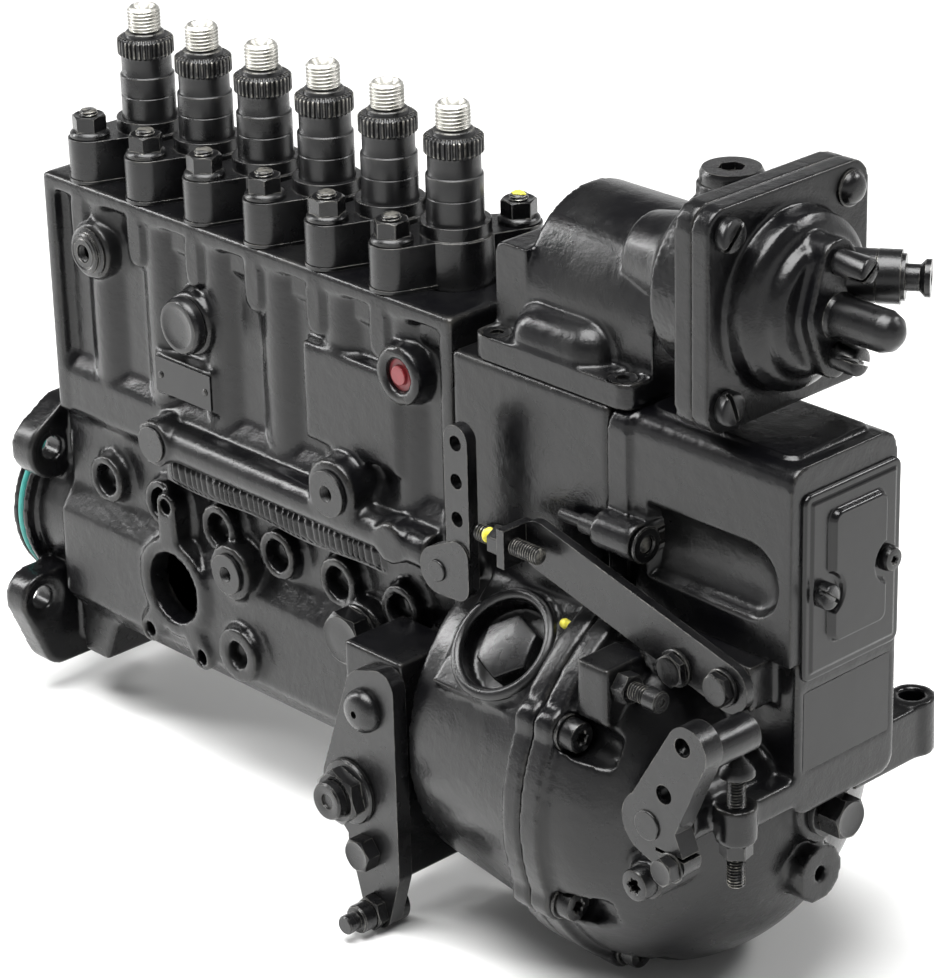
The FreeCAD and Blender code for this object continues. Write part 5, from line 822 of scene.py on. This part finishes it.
# Heads outside, section by section. A lathe's first list holds radii, its second heights.
def coverHeads():
    heads = []
    for y, z in coverBolts:
        heads.append(washer(7.5, 3, 1.5, (seatAt["cover"], y, z), "X"))
        heads.append(socketHead(6.3, 6.5, 5.6, (seatAt["cover"] + 1.5, y, z), "X", star=True,
                                dome=1.0))
    return heads


# Screw and bolts of the stop bracket's bar.
def barHeads():
    heads = [hexHead(11, 6, (320, *barScrew), "X", turned=0.5)]
    for index, (x, z) in enumerate(barBolts):
        heads.append(washer(7.5, 3, 1.6, (x, seatAt["bar"], z), "-Y"))
        heads.append(hexHead(12, 3.3, (x, seatAt["bar"] - 1.6, z), "-Y",
                             turned=0.4 + 0.8 * index, dish=0.4))
    return heads


# Button, flanged nut with its cap, bolt and stepped pin on the support bracket.
def bracketHeads(look):
    face = look["face"]
    (buttonX, buttonZ), (nutX, nutZ) = look["button"], look["nut"]
    (boltX, boltZ), (pinX, pinZ) = look["bolt"], look["pin"]
    return [
        lathe([0, 9, 9.2, 9.2, 8.6, 7.4, 5.4, 3.0, 1.6, 1.4, 0],
              [0, 0, 0.4, 1.6, 3.2, 4.6, 5.6, 6.0, 6.0, 4.2, 4.0], (buttonX, face, buttonZ), "-Y"),
        lathe([0, 13.6, 14, 14, 13.4, 11.6, 10.4], [0, 0, 0.4, 1.6, 2.5, 3.0, 3.2],
              (nutX, face, nutZ), "-Y"),
        hexHead(21, 7, (nutX, face - 2, nutZ), "-Y", turned=0.3, dish=0.8),
        lathe([0, 7.6, 8, 8, 7.3, 6.8, 3.4, 3.0, 0], [0, 0, 0.4, 4.0, 4.9, 5.0, 4.2, 3.2, 3.2],
              (nutX, face - 9, nutZ), "-Y"),
        hexHead(13, 7, (boltX, face, boltZ), "-Y", turned=0.9, dish=0.5),
        hexHead(13, 5, (pinX, face, pinZ), "-Y", turned=0.2),
        lathe([0, 5.4, 6, 6, 5.5, 3.6, 3.6, 4, 4, 3.5, 0],
              [0, 0, 0.6, 5.8, 6.6, 6.9, 9.4, 9.8, 12.3, 13, 13], (pinX, face - 5, pinZ), "-Y"),
    ]


# Side screw and drain plug of the governor cover, and the star screw of the access plate.
def governorHeads():
    sideX, sideZ = sideScrew
    return [
        socketHead(6.5, 6, 6.4, (sideX, seatAt["side"], sideZ), "-Y", star=True, dome=1.0),
        washer(10.5, 4, 3, (seatAt["drain"], *drainPlug), "X"),
        hexHead(15, 10, (seatAt["drain"] + 3, *drainPlug), "X", turned=0.25, dish=0.6),
        socketHead(5, 4, 3.2, (seatAt["plate"], *plateScrews[1]), "X", star=True, dome=2.2),
    ]


# Button in the fourth corner of the square flange, and the sleeve behind the hose fitting.
def compensatorHeads():
    return [
        lathe([0, 6.9, 7.2, 7.2, 6.6, 5.9, 5.2, 3.6, 1.8, 0],
              [0, 0, 0.3, 0.8, 1.1, 2.2, 3.2, 4.2, 4.5, 4.5],
              (seatAt["square"], *squareScrews[3]), "X"),
        lathe([0, 9.4, 9.9, 9.9, 9.4, 9.0, 9.0, 7.2, 0],
              [-26, -26, -25.5, -10.5, -10, -9.8, -8.6, -8.2, -8.2], (456, 23.5, 218), "hose"),
    ]


# Open end of the screw boss on the spring box, and the two rivets of the bare side plate.
screwBoss = (384, -37, 110)
rivets = dict(x=(99.5, 128.5), face=-36.8, z=98)


def wallHeads():
    heads = [lathe([3.3, 6.2, 7.0, 7.4, 7.4, 6.9, 4.2, 3.4, 3.3],
                   [0, 0, 0, 0.4, 1.0, 1.4, 1.4, 0.9, 0], screwBoss, "X")]
    for x in rivets["x"]:
        heads.append(lathe([0, 1.6, 1.5, 1.0, 0], [-0.3, -0.3, 0.4, 0.8, 0.9],
                           (x, rivets["face"], rivets["z"]), "-Y", 24))
    return heads


heads = coverHeads() + barHeads() + bracketHeads(bracket) + governorHeads()
heads += compensatorHeads() + wallHeads()
makePiece("fastenerHeads", heads, steelEnamel, smooth=30)
print("outer heads made")


# Cheese-head screws with a saw slot: a turned head less a bar across it.
def slottedHeads(name, screws):
    blanks, bars = [], []
    for screw in screws:
        radius, high, half = screw["radius"], screw["high"], screw["slot"] / 2
        blanks.append(lathe([0, radius - 0.2, radius, radius, radius - 0.35, radius - 1.4, 0],
                            [0, 0, 0.3, high - 1.2, high - 0.5, high, high + 0.25],
                            screw["place"], "X", 64))
        places, faces = boxSurface((high * 0.5, -half, -radius - 1), (high + 2, half, radius + 1))
        cosine, sine = math.cos(screw["turn"]), math.sin(screw["turn"])
        spin = np.array([[1, 0, 0], [0, cosine, sine], [0, -sine, cosine]])
        bars.append((places @ spin + screw["place"], faces))
    saw = bpy.data.objects.new("saw", meshOf("saw", bars))
    scene.collection.objects.link(saw)
    mesh = modified(meshOf(name, blanks), [
        ("BOOLEAN", dict(operation="DIFFERENCE", solver="EXACT", object=saw)),
    ] + roundedEdges(0.2, 2, 50))
    bpy.data.objects.remove(saw)
    placePiece(name, mesh, steelEnamel, smooth=0)


slottedHeads("slottedScrewHeads", [
    *(dict(place=(seatAt["square"], *place), radius=6.5, high=4.3, slot=1.8, turn=turn)
      for place, turn in zip(squareScrews[:3], (0.35, -0.75, 1.2))),
    dict(place=(seatAt["plate"], *plateScrews[0]), radius=5, high=4.7, slot=1.5, turn=0.9),
    dict(place=(seatAt["nose"], *noseScrews[1]), radius=5.4, high=11.2, slot=1.6, turn=1.15),
    dict(place=(seatAt["nose"], *noseScrews[0]), radius=5.0, high=14.6, slot=1.4, turn=2.2),
])

# Stop screws: the idle screw ends in a cone under the lever, the other in a round button.
idleScrew = (450, -58)
stopScrews = [
    lathe([0, 3.6, 7, 7, 6.2, 2.5, 2.2, 0], [0, 0, 1.2, 2.4, 4.2, 8.6, 9, 9],
          (*idleScrew, 45.4), "Z"),
    hexHead(11, 6, (*idleScrew, 13), "Z", turned=0.3),
    lathe([0, 3.6, 4.4, 4.4, 3.9, 1.6, 1.4, 0], [0, 0, 0.6, 6.6, 7.2, 7.2, 6.4, 6.2],
          (405.5, *limitScrew), "X"),
    hexHead(11, 6, (392, *limitScrew), "X", turned=0.2),
]
makePiece("stopScrewsThreaded", stopScrews, steelEnamel, ("stop_screws",), 32)

# Threads of the idle screw, the limit screw and the screw in the bar's ear.
adjuster = dict(radius=3.5, pitch=1.25)
makePiece("adjusterThreads", [
    threadedRod(adjuster["radius"], 46, adjuster["pitch"], (*idleScrew, 0), "Z"),
    threadedRod(adjuster["radius"], 33.5, adjuster["pitch"], (372, *limitScrew), "X"),
    threadedRod(adjuster["radius"], 34, adjuster["pitch"], (310, *barScrew), "X"),
], holderEnamel, smooth=50)

clampBolt = (442, 15)
makePiece("leverClampBoltForged", [
    washer(6, 2, 1, (clampBolt[0], -84, clampBolt[1]), "-Y"),
    hexHead(10, 5, (clampBolt[0], -85, clampBolt[1]), "-Y", turned=0.35, dish=0.4),
], steelEnamel, ("lever_clamp_bolt",), 30, body="throttle")


# Plugs on the front of the housing: stepped socket plug, pressed cap and flat hexagon.
def frontPlugs():
    (steppedX, steppedZ), (capX, capZ) = wallPlugs["stepped"], wallPlugs["cap"]
    padX, padZ = padPlug["place"]
    return [
        lathe([0, 10.6, 11, 11, 10.2, 9.2, 8.8, 8.8, 8, 7.4, 6.6, 6.2, 4.1, 3.9, 3.7],
              [0, 0, 0.4, 0.9, 1.3, 1.4, 1.8, 2.6, 3.3, 3.4, 3.1, 3.4, 3.4, 3.0, 1.2],
              (steppedX, wallPlugs["face"], steppedZ), "-Y", 64),
        lathe([0, 12, 12.4, 12.4, 12, 11, 9.6, 8.8, 8, 4, 0],
              [0, 0, 0.6, 3.0, 4.4, 5.4, 5.7, 5.5, 5.2, 5.0, 5.0],
              (capX, wallPlugs["face"], capZ), "-Y", 64),
        lathe([0, 12, 12, 11.6, 0], [0, 0, 1.6, 2, 2], (padX, padPlug["face"], padZ), "-Y", 64),
        hexHead(21, 9, (padX, padPlug["face"] - 1.5, padZ), "-Y", turned=0.1),
    ]


makePiece("frontPlugs", frontPlugs(), steelEnamel, smooth=30)

# Dark oiled threads in the open bores on the front: rings that swing between crest and root.
boreThread = dict(depth=0.45, start=-0.3, step=0.5, rings=14)
threadedBores = [
    dict(place=(216, -48, 82), radius=3.35), dict(place=(144, -44, 21), radius=3.35),
    dict(place=(57, -41, 143), radius=3.7),
]


def boreThreads(look, bores):
    surfaces = [lathe([0, 2.9, 3.2, 3.2], [0.5, 0.5, 0.2, -0.2], screwBoss, "X")]
    heights = look["start"] - look["step"] * np.arange(look["rings"])
    for bore in bores:
        radii = np.tile([bore["radius"], bore["radius"] - look["depth"]], look["rings"] // 2)
        surfaces.append(lathe(radii, heights, bore["place"], "-Y", 40))
    return surfaces


makePiece("boreThreads", boreThreads(boreThread, threadedBores), holderEnamel, smooth=60)


# The timing port slopes towards the front: the plug in it is a flange and a domed hexagon.
timingPort = dict(x=326, flangeAt=67.5, hexagonAt=69.5, rimAt=78.2, rimRadius=21.2, roll=2.5)
timingHexagon = dict(across=24, height=8.5, crown=62, rim=0.09, drop=1.1)


# The crown is down by crown - sqrt(crown^2 - r^2), and its rim rolls over like a quarter circle.
def domedHexagon(look, centre, axis, columns=120):
    side = polygonRadius(turnsOf(columns), 6, look["across"], 0.35)
    share = np.concatenate([[1, 1, 1], 1 - look["rim"] * np.linspace(0.02, 1, 9) ** 1.5,
                            [0.8, 0.55, 0.28, 0]])[:, None]
    radius = share * side[None, :]
    roll = np.clip((share - 1 + look["rim"]) / look["rim"], 0, 1)
    rise = (look["height"] - look["crown"] + np.sqrt(look["crown"] ** 2 - radius ** 2)
            - look["drop"] * (1 - np.sqrt(1 - roll ** 2)))
    rise[0] = 0
    rise[1] = look["height"] * 0.5
    return lathe(radius, rise, centre, axis)


# Place on the port's axis, at a distance from the camshaft's axis.
def onSlope(distance):
    return (timingPort["x"], -distance * slant, distance * slant)


makePiece("timingPlugForged", [
    lathe([0, 17.4, 18.2, 18.4, 18.4, 17.9, 0], [0, 0, 0, 0.4, 2.0, 2.5, 2.5],
          onSlope(timingPort["flangeAt"]), "slope", 80),
    domedHexagon(timingHexagon, onSlope(timingPort["hexagonAt"]), "slope"),
], steelEnamel, ("timing_plug",), 40)

# Rolled rim round the timing port: a tube, left open along a narrow strip on its outer side.
rimTurn = turnsOf(17)
makePiece("timingPortRim", [
    lathe(timingPort["rimRadius"] + timingPort["roll"] * np.cos(rimTurn),
          timingPort["rimAt"] + timingPort["roll"] * np.sin(rimTurn),
          (timingPort["x"], 0, 0), "slope", 96),
], steelEnamel, smooth=60, slot="black_casting")


# A dab of marking paint: a flat ellipsoid with r = 1 + 0.16 sin(3 a + 1) + 0.08 sin(7 a).
def paintDab(centre, size):
    turn = np.linspace(0, np.pi, 13)
    angle = turnsOf(32)[None, :]
    edge = 1 + 0.16 * np.sin(3 * angle + 1) + 0.08 * np.sin(7 * angle)
    places, faces = lathe(np.sin(turn)[:, None] * edge, np.repeat(np.cos(turn)[:, None], 32, 1),
                          (0, 0, 0), "Z")
    return places * size + centre, faces


paintMarks = [
    dict(place=(318.2, -54.2, 98.8), size=(2.4, 2.9, 3.0)),
    dict(place=(256, 25, 201.2), size=(3.0, 2.4, 0.7)),
    dict(place=(347.6, -42.4, 66.4), size=(3.6, 1.6, 2.4)),
]
makePiece("paintDabs", [paintDab(mark["place"], mark["size"]) for mark in paintMarks], markPaint,
          smooth=60)
print("details added")

# What is left keeps its CAD mesh: two rubber rings, and inner pieces of ground steel.
rubberRings = {"pilot_oring": sealRubber, "shaft_seal": darkRubber}
for node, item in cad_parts.items():
    if not item.hide_render:
        for slotItem in item.material_slots:
            slotItem.material = rubberRings.get(node, innerSteel)


# One for a ray that shows the backdrop: straight, in a reflection or through glass.
def seenRays(tree):
    path = addNode(tree, "ShaderNodeLightPath").outputs
    straight = combine(tree, "MAXIMUM", path["Is Camera Ray"], path["Is Glossy Ray"])
    return combine(tree, "MAXIMUM", straight, path["Is Transmission Ray"])


# Floor and room. The floor's fade to white runs over a stretch of distance in metres, and the
# white wall of the room ends over a stretch of a direction's height.
studio = dict(paper="#fcfcfb", white="#ffffff", nearFloor=0.9, farFloor=1.8, floorHalf=6000,
              floorHeight=-84.4, floorLines=9, dim=0.16, wallFull=0.16, wallEnd=0.38)


# Pale paper floor: it keeps the pump's shadow, and further away it turns into the even white
# of the backdrop for what looks at it straight or in a reflection.
def paleGround(look):
    material, tree, place = newMaterial("palePaperFloor")
    tooth = addNode(tree, "ShaderNodeTexNoise", {"Scale": 900.0, "Detail": 2.0},
                    {"Vector": place}).outputs["Fac"]
    bump = bumped(tree, tooth, 0.05, 0.0005)
    shader = addNode(tree, "ShaderNodeBsdfPrincipled", {
        "Base Color": linear(look["paper"]), "Roughness": 0.95, "Specular IOR Level": 0.05,
    }, {"Normal": bump})
    away = addNode(tree, "ShaderNodeVectorMath", {"operation": "LENGTH"},
                   {0: place}).outputs["Value"]
    far = fade(tree, away, (look["nearFloor"], 0.0), (look["farFloor"], 1.0))
    amount = combine(tree, "MULTIPLY", far, seenRays(tree))
    white = addNode(tree, "ShaderNodeEmission", {"Color": linear(look["white"]), "Strength": 1.0})
    mixed = addNode(tree, "ShaderNodeMixShader", {}, {
        0: amount, 1: shader.outputs[0], 2: white.outputs[0]})
    addNode(tree, "ShaderNodeOutputMaterial", {}, {"Surface": mixed.outputs[0]})
    return material


# A square grid of points as the floor, one that the frame takes as scenery.
def makeFloor(look):
    lines = look["floorLines"]
    span = np.linspace(-look["floorHalf"], look["floorHalf"], lines)
    gridX, gridY = np.meshgrid(span, span)
    points = np.stack([gridX, gridY, np.full_like(gridX, look["floorHeight"])], -1)
    mesh = bpy.data.meshes.new("floor")
    mesh.from_pydata((points.reshape(-1, 3) / 1000).tolist(), [],
                     gridQuads(lines, lines, False).tolist())
    mesh.materials.append(paleGround(look))
    floor = bpy.data.objects.new("floor", mesh)
    scene.collection.objects.link(floor)


# A dim even room. What looks at it straight or in a reflection sees a white wall all round
# that ends some way up, so that what faces up stays black.
def makeRoom(look):
    world = bpy.data.worlds.new("studio")
    scene.world = world
    world.use_nodes = True
    tree = world.node_tree
    tree.nodes.clear()
    heading = addNode(tree, "ShaderNodeTexCoord").outputs["Generated"]
    rise = addNode(tree, "ShaderNodeSeparateXYZ", {}, {0: heading}).outputs["Z"]
    wall = fade(tree, rise, (look["wallFull"], 1.0), (look["wallEnd"], 0.0))
    shown = combine(tree, "MULTIPLY", wall, seenRays(tree))
    glow = fade(tree, shown, (0.0, look["dim"]), (1.0, 1.0))
    sky = addNode(tree, "ShaderNodeBackground", {"Color": linear(look["white"])},
                  {"Strength": glow})
    addNode(tree, "ShaderNodeOutputWorld", {}, {"Surface": sky.outputs[0]})


makeFloor(studio)
makeRoom(studio)

# Soft boxes: place, aim, size and power.
softBoxes = {
    "keyOverhead": dict(place=(350, -300, 1700), aim=(250, -100, 0), size=(1500, 1100), power=66),
    "upperLeft": dict(place=(-1000, -650, 950), aim=(200, 0, 80), size=(240, 800), power=14),
    "upperBack": dict(place=(1000, 1200, 1250), aim=(300, 0, 100), size=(800, 240), power=12),
    "leftLow": dict(place=(-1200, -500, 250), aim=(100, 0, 60), size=(200, 700), power=4),
}
for name, box in softBoxes.items():
    data = bpy.data.lights.new(name, "AREA")
    data.shape = "RECTANGLE"
    data.size, data.size_y = (value / 1000 for value in box["size"])
    data.energy = box["power"]
    lamp = bpy.data.objects.new(name, data)
    lamp.location = Vector(box["place"]) / 1000
    aim = Vector(box["aim"]) - Vector(box["place"])
    lamp.rotation_euler = aim.to_track_quat("-Z", "Y").to_euler()
    scene.collection.objects.link(lamp)
scene.view_settings.view_transform = "Standard"
print("studio set")
